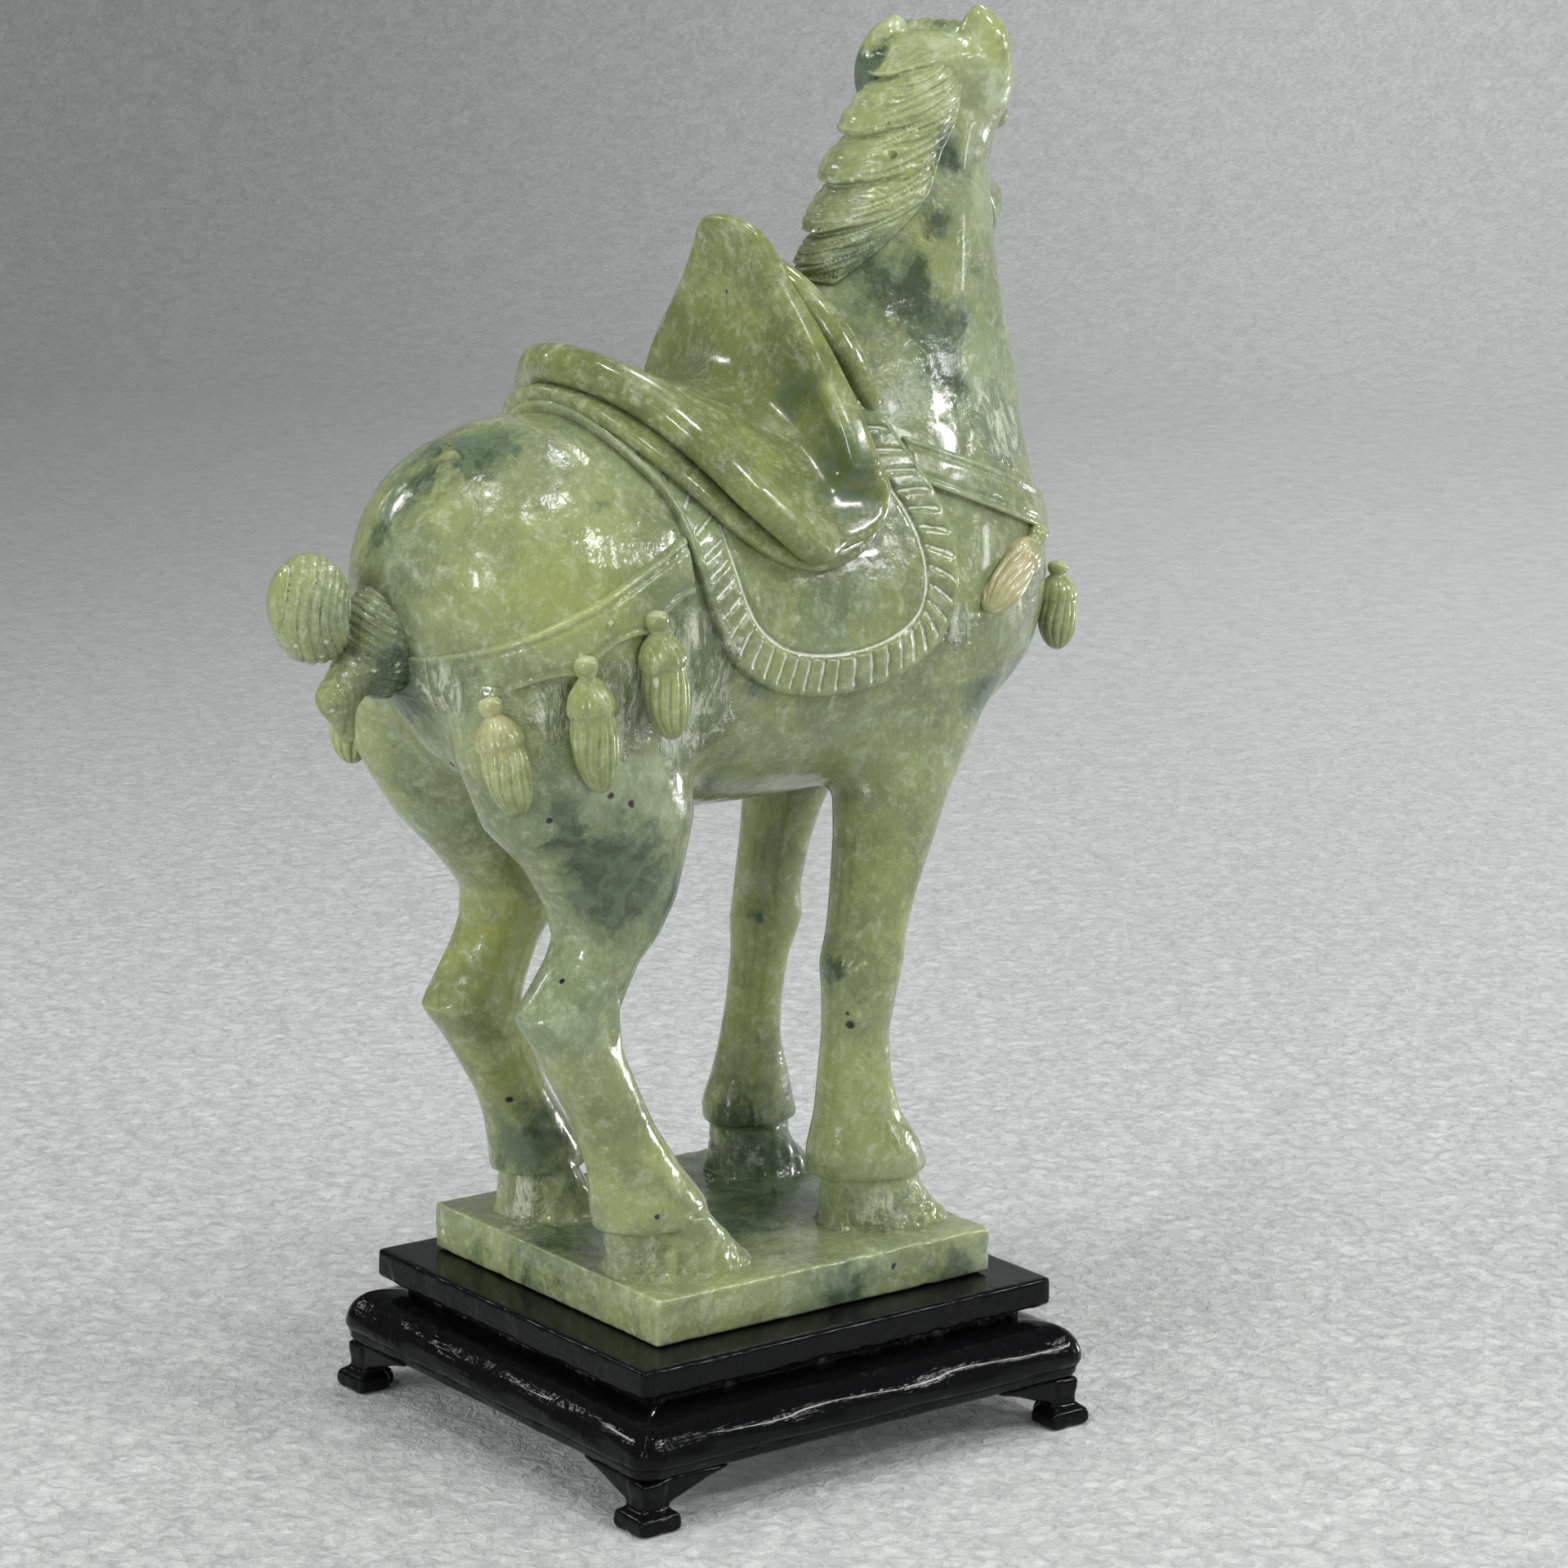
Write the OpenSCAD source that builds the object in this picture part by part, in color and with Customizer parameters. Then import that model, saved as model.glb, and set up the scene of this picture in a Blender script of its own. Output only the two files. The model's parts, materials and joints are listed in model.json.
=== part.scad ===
// Carved jade horse, saddled, on its own jade plinth and a black lacquered wood stand.
// +X is the way the horse stands, +Y its left side, +Z up, and the floor is z = 0.
// The horse, its harness and the plinth are cut from one stone: each node of the carving is one
// carved feature, and neighbouring features meet face to face.

/* [Stand] */
// Length of the top board along the horse
board_l = 128.6; // [118:0.2:138]
// Width of the top board
board_w = 116.8; // [108:0.2:126]
// Thickness of the top board
board_t = 7.6; // [5:0.2:10]
// Height of the stand
stand_h = 38; // [34:0.5:44]
// Length over the feet
foot_l = 142; // [136:0.5:152]
// Width over the feet
foot_w = 134.7; // [128:0.5:144]
// Height of the recessed waist under the board
waist_h = 3.6; // [2:0.2:6]
// Depth of the cushion moulding from its back to its nose
rail_d = 17; // [12:0.5:22]
// Height of the feet below the moulding
foot_h = 13; // [9:0.5:16]

/* [Plinth] */
// Length of the jade plinth
plinth_l = 105.6; // [98:0.2:116]
// Width of the jade plinth
plinth_w = 97.3; // [90:0.2:106]
// Thickness of the jade plinth
plinth_t = 12.4; // [9:0.2:16]

/* [Horse] */
// Half-width of the barrel at its widest
barrel_ry = 43; // [38:0.5:48]
// Turn of the head to the horse's left, in degrees
head_yaw = 40; // [20:1:55]
// Downward tilt of the face, in degrees
head_pitch = 38; // [30:1:50]
// Length of the head from the poll to the lips
head_len = 66; // [58:1:74]

/* [Trappings] */
// Thickness of the saddle blanket
blanket_t = 3; // [2:0.5:5]
// Thickness of the pad between the blanket and the saddle
pad_t = 3; // [2:0.5:5]
// Thickness of the saddle plate
saddle_t = 5.5; // [4:0.5:8]
// Width of the rump strap
strap_w = 15; // [10:0.5:20]
// Thickness of the straps
strap_t = 1.8; // [1:0.2:3]

/* [Hidden] */
LACQUER = [0.03, 0.03, 0.035];
JADE = [0.62, 0.66, 0.42];
SADDLE_JADE = [0.66, 0.69, 0.42];
TASSEL_JADE = [0.76, 0.74, 0.52];
seg = 18;                                // sides of a carved round section
frame_x = 11.44;                          // stand centre from the middle of the overall length
plinth_x = 1;                            // plinth centre from the stand centre
plinth_y = 2;
board_z = stand_h - board_t;
rail_z = foot_h;                         // underside of the moulding
rail_h = board_z - waist_h - rail_z;     // height of the moulding
plinth_top = stand_h + plinth_t;
thin = 0.5;                              // thickness of a section disc
big = 400;

// ---- helpers ---------------------------------------------------------------------------------

// moves the stand's own centre to its place in the part's frame
module placed() {
  translate([frame_x, 0, 0]) children();
}

// flat elliptical section [x, y, z, half-length, half-width]
module level_section(s) {
  translate([s[0], s[1], s[2]]) scale([s[3], s[4], 1])
    cylinder(h = thin, r = 1, center = true, $fn = seg);
}

// upright elliptical section across the horse [x, z, half-width, half-height], grown by g
module cross_section(s, g) {
  translate([s[0], 0, s[1]]) rotate([0, 90, 0]) scale([s[3] + g, s[2] + g, 1])
    cylinder(h = thin, r = 1, center = true, $fn = 28);
}

module level_chain(sections) {
  for (i = [0:len(sections) - 2]) hull() {
    level_section(sections[i]);
    level_section(sections[i + 1]);
  }
}

// round-ended tube through points [x, y, z, radius]
module bead_chain(beads, sides) {
  for (i = [0:len(beads) - 2]) hull() {
    for (b = [beads[i], beads[i + 1]]) translate([b[0], b[1], b[2]]) sphere(r = b[3], $fn = sides);
  }
}

// ---- stand -----------------------------------------------------------------------------------

module top_board() {
  color(LACQUER) placed() translate([-board_l / 2, -board_w / 2, board_z])
    cube([board_l, board_w, board_t]);
}

// recessed board between the mouldings and the top board
module waist_board() {
  inset = 6;
  l = board_l - 2 * inset;
  w = board_w - 2 * inset;
  color(LACQUER) placed() translate([-l / 2, -w / 2, board_z - waist_h]) cube([l, w, waist_h]);
}

// end view of the moulding: nose to +x, a small lip under it, back face at x = -rail_d
module rail_profile() {
  lip = 2.6;
  under = 2.2;
  over_l = 12;
  over_h = rail_h - lip - under;
  polygon(concat(
    [[-rail_d, 0], [-1.6, 0], [-1.2, lip]],
    [for (a = [-60:20:80]) a < 0 ? [under * (cos(a) - 1), lip + under * (1 + sin(a))]
                                 : [over_l * (cos(a) - 1), lip + under + over_h * sin(a)]],
    [[-over_l - 1, rail_h], [-rail_d, rail_h]]));
}

// one mitred length of moulding with its nose on the line x = reach, across a span along y
module mitred_rail(reach, span) {
  translate([0, 0, rail_z]) intersection() {
    translate([reach, span / 2, 0]) rotate([90, 0, 0]) linear_extrude(span) rail_profile();
    linear_extrude(rail_h) polygon([[reach, -span / 2], [reach, span / 2],
                                    [reach - rail_d - 1, span / 2 - rail_d - 1],
                                    [reach - rail_d - 1, -span / 2 + rail_d + 1]]);
  }
}

module front_rail() { color(LACQUER) placed() mitred_rail(foot_l / 2, foot_w); }
module back_rail() { color(LACQUER) placed() rotate([0, 0, 180]) mitred_rail(foot_l / 2, foot_w); }
module left_rail() { color(LACQUER) placed() rotate([0, 0, 90]) mitred_rail(foot_w / 2, foot_l); }
module right_rail() { color(LACQUER) placed() rotate([0, 0, -90]) mitred_rail(foot_w / 2, foot_l); }

// bracket foot for the corner at +x +y: spreads up under both mouldings and down to a small pad
module corner_foot() {
  pad = 13;
  pad_h = 5;
  neck_w = 8;
  bracket = 24;
  setback = 3;
  arm = 6;
  lip = 1.5;
  translate([foot_l / 2, foot_w / 2, 0]) {
    translate([-pad, -pad, 0]) cube([pad, pad, pad_h]);
    translate([-setback - neck_w, -setback - neck_w, pad_h]) cube([neck_w, neck_w, foot_h - pad_h]);
    for (turn = [0, 1]) mirror([turn, -turn, 0]) translate([-setback, -setback, 0]) rotate([90, 0, 0])
      linear_extrude(arm) polygon([[0, pad_h], [-neck_w, pad_h], [-neck_w - lip, pad_h + 2 * lip],
                                   [-bracket, foot_h - lip], [-bracket, foot_h], [0, foot_h]]);
  }
}

module front_left_foot() { color(LACQUER) placed() corner_foot(); }
module front_right_foot() { color(LACQUER) placed() mirror([0, 1, 0]) corner_foot(); }
module back_left_foot() { color(LACQUER) placed() mirror([1, 0, 0]) corner_foot(); }
module back_right_foot() { color(LACQUER) placed() mirror([1, 0, 0]) mirror([0, 1, 0]) corner_foot(); }

// ---- stone body ------------------------------------------------------------------------------

module plinth() {
  color(JADE) placed() translate([plinth_x - plinth_l / 2, plinth_y - plinth_w / 2, stand_h])
    cube([plinth_l, plinth_w, plinth_t]);
}

// rump, barrel and chest, tail end first: [x, centre z, half-width, half-height]
TORSO = [[-102, 221, 9, 10], [-97.5, 220, 19, 20], [-91, 218, 28, 30], [-80, 215, 37.5, 40],
         [-63, 212.5, 42.5, 47.5], [-40, 211, barrel_ry, 48.5], [-15, 207, barrel_ry - 1.5, 47],
         [10, 205, barrel_ry - 2, 45], [35, 208, barrel_ry - 3, 46], [58, 211, 36.5, 43.5],
         [74, 212, 31, 37.5], [86, 212, 22, 28.5], [93, 212, 12, 18], [96, 212, 5, 10]];

module torso_shape(g = 0) {
  for (i = [0:len(TORSO) - 2]) hull() {
    cross_section(TORSO[i], g);
    cross_section(TORSO[i + 1], g);
  }
}

NECK = [[46, 0, 222, 40, 30], [47, 0, 240, 41, 30], [48, 0, 255, 40.5, 27], [49, 0, 264, 39, 24],
        [50.5, 0, 276, 35, 20], [54, 0, 291, 28, 17], [57, 1, 304, 25, 16], [61, 2, 318, 21.5, 15],
        [66, 3, 332, 18, 14.5]];

module neck_shape(g = 0) {
  level_chain([for (s = NECK) [s[0], s[1], s[2], s[3] + g, s[4] + g]]);
}

module torso() { color(JADE) placed() torso_shape(); }

module neck() {
  color(JADE) placed() difference() {
    neck_shape();
    torso_shape();
  }
}

// poll of the head in the stand's frame
poll = [66, 4, 340];

// children drawn with x along the face, y to the head's left and z out of the forehead
module head_frame() {
  translate(poll) rotate([0, 0, head_yaw]) rotate([0, head_pitch, 0]) children();
}

// skull, cheeks, nose and lips:
// [share of head length, drop below the forehead line, half-width, half-depth]
HEAD = [[-0.12, 1, 14, 9], [0.02, 4, 18, 15], [0.16, 7, 19.5, 19], [0.30, 7, 17.5, 18.5],
        [0.48, 5, 12, 13], [0.68, 3.5, 9.5, 10], [0.86, 3.5, 10.5, 10], [0.95, 4, 9, 8.5],
        [1.0, 4.5, 6, 5]];

module head_shape() {
  head_frame() for (i = [0:len(HEAD) - 2]) hull() {
    for (s = [HEAD[i], HEAD[i + 1]]) translate([s[0] * head_len, 0, -s[1]]) rotate([0, 90, 0])
      scale([s[3], s[2], 1]) cylinder(h = thin, r = 1, center = true, $fn = seg);
  }
}

module head() {
  color(JADE) placed() difference() {
    head_shape();
    neck_shape();
  }
}

// leaf-shaped ear on one side of the poll
module ear_shape(side) {
  LEAF = [[-1, 11, 5, 5], [-3, 12, 8, 5], [-7, 12, 13, 2]];
  head_frame() for (i = [0:len(LEAF) - 2]) hull() {
    for (b = [LEAF[i], LEAF[i + 1]]) translate([b[0], side * b[1], b[2]]) sphere(r = b[3], $fn = 14);
  }
}

module ear(side) {
  color(JADE) placed() difference() {
    ear_shape(side);
    head_shape();
    neck_shape();
  }
}

module left_ear() { ear(1); }
module right_ear() { ear(-1); }

module forelock_shape() {
  head_frame() bead_chain([[-8, 0, 6, 5], [0, 0, 8, 6], [10, 0, 10, 5.5], [20, 0, 11, 3]], 14);
}

module forelock() {
  color(JADE) placed() difference() {
    forelock_shape();
    head_shape();
    neck_shape();
    ear_shape(1);
    ear_shape(-1);
  }
}

// scalloped crest with the hair combed down the right side of the neck
MANE = [[22, -3, 285, 7], [26, -4, 294, 8.5], [31, -4, 305, 8.5], [38, -3, 317, 8.5],
        [45, -1, 328, 8], [53, 2, 339, 7.5]];
MANE_FALL = [[38, -15, 286, 4], [44, -15.5, 297, 4.5], [51, -14, 308, 4.5], [57, -12.5, 320, 4.5],
             [61, -11, 331, 4]];

module mane_shape() {
  bead_chain(MANE, 14);
  for (i = [0:len(MANE_FALL) - 2]) hull() {
    for (b = [MANE[i], MANE[i + 1], MANE_FALL[i], MANE_FALL[i + 1]])
      translate([b[0], b[1], b[2]]) sphere(r = min(b[3], 4.5), $fn = 12);
  }
}

module mane() {
  color(JADE) placed() difference() {
    mane_shape();
    neck_shape();
    head_shape();
    ear_shape(1);
    forelock_shape();
    saddle_side(trap_top);
    saddle_side(blanket_t);
    saddle_arch(0, 3);
  }
}

// tied-up tail: the dock, the wrapped knob and the tuft below it
module tail_shape() {
  bead_chain([[-94, 0, 212, 10], [-103, 0, 211, 9], [-112, 0, 214, 10.5], [-120, 0, 219.5, 12],
              [-114, 0, 210, 9], [-108, 0, 203, 7.5], [-106, 0, 197, 5]], 14);
}

module tail() {
  color(JADE) placed() difference() {
    tail_shape();
    torso_shape();
  }
}

// legs from the top down: [x, y, z, half-length, half-width]
RIGHT_HIND = [[-58, -16, 216, 24, 12], [-62, -20, 200, 32, 18], [-61, -22, 182, 31, 19],
              [-57.5, -24, 166, 28.4, 17.5], [-53, -24, 155, 21.7, 15],
              [-51.6, -24.5, 145, 17.3, 13], [-53, -25, 137, 13.6, 11.5],
              [-57, -25, 131, 12.2, 10.5], [-62, -25, 122, 13.3, 10], [-63.3, -25, 117.5, 13, 10],
              [-60.5, -25, 109, 11.2, 9.5], [-50, -25, 89, 10.3, 9], [-43.6, -25, 77, 12.2, 10],
              [-39, -25, 67.6, 15.3, 11.5], [-38, -25, 62.5, 14.6, 11]];
LEFT_HIND = [[-58, 16, 216, 24, 12], [-63, 21, 200, 33, 19], [-60, 24, 178, 31, 19],
             [-54, 24, 160, 25, 17], [-49.5, 24, 149, 18.5, 14], [-46, 24.5, 139, 13.8, 12],
             [-47.5, 25, 131, 12.5, 10.5], [-50.5, 25.5, 125, 11.5, 10], [-56, 26, 112, 13, 10],
             [-56.5, 26, 108.5, 13, 10], [-52, 27, 101, 11.5, 9.5], [-43, 29, 85, 9.6, 8.7],
             [-38.5, 30, 77, 10.6, 9], [-34.5, 30, 67.5, 12.8, 10], [-33.5, 30, 62.5, 12.3, 10]];
RIGHT_FORE = [[46, -14, 206, 18, 12], [44, -18, 190, 26, 17], [41, -21, 175, 20, 15],
              [36, -23, 161, 15.5, 13], [33.3, -24, 150, 13.5, 11.5], [30.4, -24, 137, 11.5, 10.2],
              [28.5, -24, 127, 10.5, 9.7], [27.2, -24, 119, 11, 10], [26.6, -24, 111, 9.8, 9.2],
              [25.7, -24, 101, 8.7, 8.5], [25.7, -24, 91, 9.5, 9], [26.8, -24, 80, 11.5, 10],
              [29.2, -24, 70, 16.5, 12.5], [31, -24, 64, 15.5, 12.5]];
LEFT_FORE = [[46, 14, 206, 18, 12], [46, 18, 190, 26, 17], [45, 21, 175, 19, 14],
             [43, 24, 160, 13.5, 11.5], [41, 27, 149, 11, 10], [40, 29, 138, 9.6, 8.8],
             [38.7, 30, 126, 9, 8.5], [38.4, 30, 118, 9.7, 9], [36.5, 30, 107.5, 7.7, 7.5],
             [35, 30, 96, 7.5, 7.2], [34, 30, 86, 8.2, 7.8], [34, 30, 76, 11, 9],
             [33.5, 30, 69, 13, 10.3], [35, 30, 64, 12.3, 10.3]];

module right_hind_shape() { level_chain(RIGHT_HIND); }
module left_hind_shape() { level_chain(LEFT_HIND); }
module right_fore_shape() { level_chain(RIGHT_FORE); }
module left_fore_shape() { level_chain(LEFT_FORE); }

// a leg meets the torso above, and each hind leg keeps to its own side of the middle
module leg_cut(side) {
  difference() {
    children();
    torso_shape();
    tail_shape();
    translate([-big / 2, side > 0 ? -big : 0, 0]) cube([big, big, big]);
  }
}

module right_hind_leg() { color(JADE) placed() leg_cut(-1) right_hind_shape(); }
module left_hind_leg() { color(JADE) placed() leg_cut(1) left_hind_shape(); }
module right_fore_leg() { color(JADE) placed() leg_cut(-1) right_fore_shape(); }
module left_fore_leg() { color(JADE) placed() leg_cut(1) left_fore_shape(); }

// hoof under the last section of a leg, flaring to a sole at [x, y] of half-length and half-width
module hoof(leg, sole) {
  ankle = leg[len(leg) - 1];
  z_top = ankle[2] - thin / 2;
  color(JADE) placed() hull() {
    translate([ankle[0] + 1, ankle[1], z_top - thin / 2]) scale([ankle[3] - 2.5, ankle[4] - 1.5, 1])
      cylinder(h = thin, r = 1, center = true, $fn = seg);
    translate([sole[0], sole[1], plinth_top]) scale([sole[2], sole[3], 1])
      cylinder(h = 2, r = 1, $fn = seg);
  }
}

module right_hind_hoof() { hoof(RIGHT_HIND, [-29.5, -23, 20.5, 14.5]); }
module left_hind_hoof() { hoof(LEFT_HIND, [-28, 30, 16, 13]); }
module right_fore_hoof() { hoof(RIGHT_FORE, [37, -22, 18, 14]); }
module left_fore_hoof() { hoof(LEFT_FORE, [38, 29, 15.5, 12.5]); }

// ---- saddle and harness ----------------------------------------------------------------------

trap_top = blanket_t + pad_t;

// side outline of a layer, drawn in x and z and pushed through the horse
module side_outline(points) {
  translate([0, big / 2, 0]) rotate([90, 0, 0]) linear_extrude(big) polygon(points);
}

BLANKET_EDGE = [[-58, 275], [-50, 254], [-42, 243], [-40, 226], [-34, 208], [-20, 196], [1, 192.5],
                [21, 195], [35, 204], [41, 218], [39, 235], [31, 251], [24, 266], [17, 281],
                [12, 290], [0, 292]];
PAD_EDGE = [[-58, 280], [-52, 260], [-38, 245], [-25, 232], [-8, 223], [10, 226], [20, 238],
            [20, 252], [15, 268], [10, 284], [2, 292], [-20, 292]];
PLATE_EDGE = [[-48, 290], [-44, 266], [-32, 254], [-20, 240], [-8, 228], [6, 229], [15, 234],
              [18, 242], [15, 258], [10, 274], [2, 292], [-20, 292]];

// the horse's back and sides, padded out by g
module padded_horse(g) {
  torso_shape(g);
  neck_shape(g);
}

module saddle_side(g) {
  intersection() {
    padded_horse(g);
    side_outline(g > trap_top ? PLATE_EDGE : g > blanket_t ? PAD_EDGE : BLANKET_EDGE);
  }
}

// arched wall of a layer that stands up in front of the seat: foot of the arch below, tip above
module saddle_arch(back, drop) {
  edge_r = 2.6;
  sill = [-8, 262];
  sill_r = 3;
  ARCH = [[10, 44, 256], [9, 38, 270], [7.5, 30, 282], [5.3, 20, 292], [3.5, 11, 299.5],
          [1, 0, 303]];
  for (side = [-1, 1]) for (i = [0:len(ARCH) - 2]) hull() {
    for (p = [ARCH[i], ARCH[i + 1]])
      translate([p[0] - back, side * (p[1] - drop), p[2] - drop]) sphere(r = edge_r, $fn = 10);
    translate([sill[0] - back, 0, sill[1] - drop]) sphere(r = sill_r, $fn = 10);
  }
}

module saddle_blanket() {
  color(JADE) placed() difference() {
    saddle_side(blanket_t);
    padded_horse(0);
    right_fore_shape();
    left_fore_shape();
    right_hind_shape();
    left_hind_shape();
  }
}

module saddle_pad() {
  color(JADE) placed() difference() {
    saddle_side(trap_top);
    padded_horse(blanket_t);
    padded_horse(0);
  }
}

// seat plate, pommel arch and rolled cantle
module saddle() {
  CANTLE = [[-10, -46, 230, 4], [-22, -44, 243, 4.5], [-33, -34, 258, 4.5], [-41, -18, 269, 5],
            [-45, 0, 272.5, 5.5], [-41, 18, 269, 5], [-33, 34, 258, 4.5], [-22, 44, 243, 4.5],
            [-10, 46, 230, 4]];
  SEAT = [[-42, 0, 260, 4], [-30, 0, 258, 4], [-18, 0, 257, 4], [-6, 0, 260, 4]];
  seat_spread = 3;
  color(SADDLE_JADE) placed() difference() {
    union() {
      intersection() {
        padded_horse(trap_top + saddle_t);
        side_outline(PLATE_EDGE);
      }
      bead_chain(CANTLE, 12);
      hull() {
        for (b = SEAT) translate([b[0], b[1], b[2]]) scale([1, seat_spread, 1])
          sphere(r = b[3], $fn = 12);
      }
      saddle_arch(0, 0);
    }
    padded_horse(trap_top);
  }
}

// band round the rump, sloping down from the blanket to the tail
module rump_slab() {
  start = [-98, 0, 201];
  lead = 20;
  run = 78;
  slope = atan2(24, 52);
  translate(start) rotate([0, -slope, 0]) translate([-lead, -big / 2, -strap_w / 2])
    cube([run, big, strap_w]);
}

module rump_strap_shape() {
  difference() {
    intersection() {
      torso_shape(strap_t);
      rump_slab();
    }
    torso_shape();
  }
}

module rump_strap() {
  color(JADE) placed() difference() {
    rump_strap_shape();
    tail_shape();
    right_hind_shape();
    left_hind_shape();
    saddle_side(blanket_t);
  }
}

// band across the chest, sloping down to the front
module breast_strap_shape() {
  start = [34, 0, 246];
  lead = 8;
  run = 90;
  band = 10;
  slope = atan2(20, 55);
  intersection() {
    padded_horse(strap_t);
    translate(start) rotate([0, slope, 0]) translate([-lead, -big / 2, -band / 2])
      cube([run, big, band]);
  }
}

module breast_strap() {
  color(JADE) placed() difference() {
    breast_strap_shape();
    padded_horse(0);
    saddle_side(blanket_t);
  }
}

// tassel hanging from a knot at p to a tip at q, s times the usual thickness: bead, bell and skirt,
// each bead [share of the length, radius]
module tassel(p, q, s) {
  BEADS = [[0, 2.8], [0.12, 2.2], [0.42, 4.6], [0.46, 3.8], [0.72, 5], [0.95, 2.4]];
  bead_chain([for (b = BEADS) concat(p + b[0] * (q - p), b[1] * s)], 10);
}

// knots and tips of the tassels on the right side; the left side mirrors them
RUMP_TASSELS = [[[-90, -30, 197], [-86, -36, 172]], [[-72, -42.5, 206.5], [-68, -43.5, 177]],
                [[-54, -45.5, 216], [-49, -45.5, 188]]];
BREAST_TASSELS = [[[74, -32, 224], [51, -41, 208.5]], [[97.5, -14, 211], [98, -14, 190]]];

function other_side(p, side) = [p[0], -side * p[1], p[2]];

module rump_tassels() {
  color(TASSEL_JADE) placed() difference() {
    for (side = [-1, 1]) for (t = RUMP_TASSELS)
      tassel(other_side(t[0], side), other_side(t[1], side), 1.1);
    torso_shape();
    right_hind_shape();
    left_hind_shape();
    rump_strap_shape();
  }
}

module breast_tassels() {
  color(TASSEL_JADE) placed() difference() {
    for (side = [-1, 1]) for (t = BREAST_TASSELS)
      tassel(other_side(t[0], side), other_side(t[1], side), 1);
    padded_horse(0);
    breast_strap_shape();
  }
}

top_board();
waist_board();
front_rail();
back_rail();
left_rail();
right_rail();
front_left_foot();
front_right_foot();
back_left_foot();
back_right_foot();
plinth();
torso();
neck();
head();
left_ear();
right_ear();
forelock();
mane();
tail();
right_hind_leg();
left_hind_leg();
right_fore_leg();
left_fore_leg();
right_hind_hoof();
left_hind_hoof();
right_fore_hoof();
left_fore_hoof();
saddle();
saddle_pad();
saddle_blanket();
breast_strap();
breast_tassels();
rump_strap();
rump_tassels();
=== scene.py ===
"""Looks of a carved jade horse on its plinth and black lacquered stand.

The stone is modelled as a distance field on a grid, the way a carver works: sections are blended into
one body, then grooves and hollows are cut, and the zero surface becomes the mesh. Lengths inside the
carving code are millimetres from the middle of the stand, with z = 0 at the floor.
"""

import json
import math

import bpy
import numpy as np
from mathutils import Matrix, Vector

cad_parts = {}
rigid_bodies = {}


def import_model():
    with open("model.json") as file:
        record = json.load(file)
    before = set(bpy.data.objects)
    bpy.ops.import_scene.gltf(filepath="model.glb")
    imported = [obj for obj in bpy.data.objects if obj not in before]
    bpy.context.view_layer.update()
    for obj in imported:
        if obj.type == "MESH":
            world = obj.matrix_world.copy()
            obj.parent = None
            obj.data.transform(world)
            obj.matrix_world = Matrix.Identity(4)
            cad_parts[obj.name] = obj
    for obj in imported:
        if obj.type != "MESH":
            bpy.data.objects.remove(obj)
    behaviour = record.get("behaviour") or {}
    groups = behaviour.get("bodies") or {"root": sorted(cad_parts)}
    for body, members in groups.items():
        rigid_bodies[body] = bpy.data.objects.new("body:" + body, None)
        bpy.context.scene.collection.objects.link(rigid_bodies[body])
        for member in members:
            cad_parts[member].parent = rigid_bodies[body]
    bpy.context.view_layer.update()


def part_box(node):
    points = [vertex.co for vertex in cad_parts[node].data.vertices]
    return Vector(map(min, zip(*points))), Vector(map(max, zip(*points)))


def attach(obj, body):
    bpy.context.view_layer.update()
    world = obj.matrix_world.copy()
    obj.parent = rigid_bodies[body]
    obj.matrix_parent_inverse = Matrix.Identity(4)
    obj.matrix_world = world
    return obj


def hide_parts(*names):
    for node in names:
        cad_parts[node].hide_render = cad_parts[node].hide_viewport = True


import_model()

MM = 0.001
board_low, board_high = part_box("top_board")
STAND_X = (board_low.x + board_high.x) / 2 / MM
PLINTH_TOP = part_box("plinth")[1].z / MM
GRID_SCALE = 1
OUTSIDE = 60  # distance in mm given to points that no shape has reached


def box_mm(node):
    """A CAD node's lowest and highest corners, in mm from the middle of the stand."""
    return [np.array(corner) / MM - (STAND_X, 0, 0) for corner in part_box(node)]


def in_place_of(piece, slot, *nodes):
    """The piece, now standing for its CAD nodes, with the slot that it takes its finish from."""
    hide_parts(*nodes)
    return piece, slot


# ---- shapes on a grid -------------------------------------------------------------------------

def smooth_min(a, b, k):
    if k <= 0:
        return np.minimum(a, b)
    h = np.clip(0.5 + 0.5 * (b - a) / k, 0, 1)
    return b + (a - b) * h - k * h * (1 - h)


def smooth_max(a, b, k):
    return -smooth_min(-a, -b, k)


def bump(distance, width):
    """1 on a line, falling to 0 about two widths away."""
    return np.exp(-((distance / width) ** 2))


def fade(value, start, end):
    t = np.clip((value - start) / (end - start), 0, 1)
    return t * t * (3 - 2 * t)


def through(keys, values, t):
    """Smooth curve through the values, without overshoot."""
    keys = np.asarray(keys, float)
    values = np.asarray(values, float)
    if keys[0] > keys[-1]:
        keys, values = keys[::-1], values[::-1]
    gap = np.diff(keys)
    rise = np.diff(values) / gap
    slope = np.zeros_like(values)
    slope[0], slope[-1] = rise[0], rise[-1]
    same = rise[1:] * rise[:-1] > 0
    slope[1:-1][same] = 2 * rise[1:][same] * rise[:-1][same] / (rise[1:] + rise[:-1])[same]
    t = np.clip(t, keys[0], keys[-1])
    i = np.clip(np.searchsorted(keys, t) - 1, 0, len(keys) - 2)
    u = (t - keys[i]) / gap[i]
    return ((1 + 2 * u) * (1 - u) ** 2 * values[i] + u * (1 - u) ** 2 * gap[i] * slope[i]
            + u * u * (3 - 2 * u) * values[i + 1] - u * u * (1 - u) * gap[i] * slope[i + 1]).astype(np.float32)


def straight(keys, values, t):
    """Straight lines through the values, for crisp changes of direction."""
    order = np.argsort(keys)
    return np.interp(t, np.asarray(keys, float)[order], np.asarray(values, float)[order]).astype(np.float32)


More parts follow.
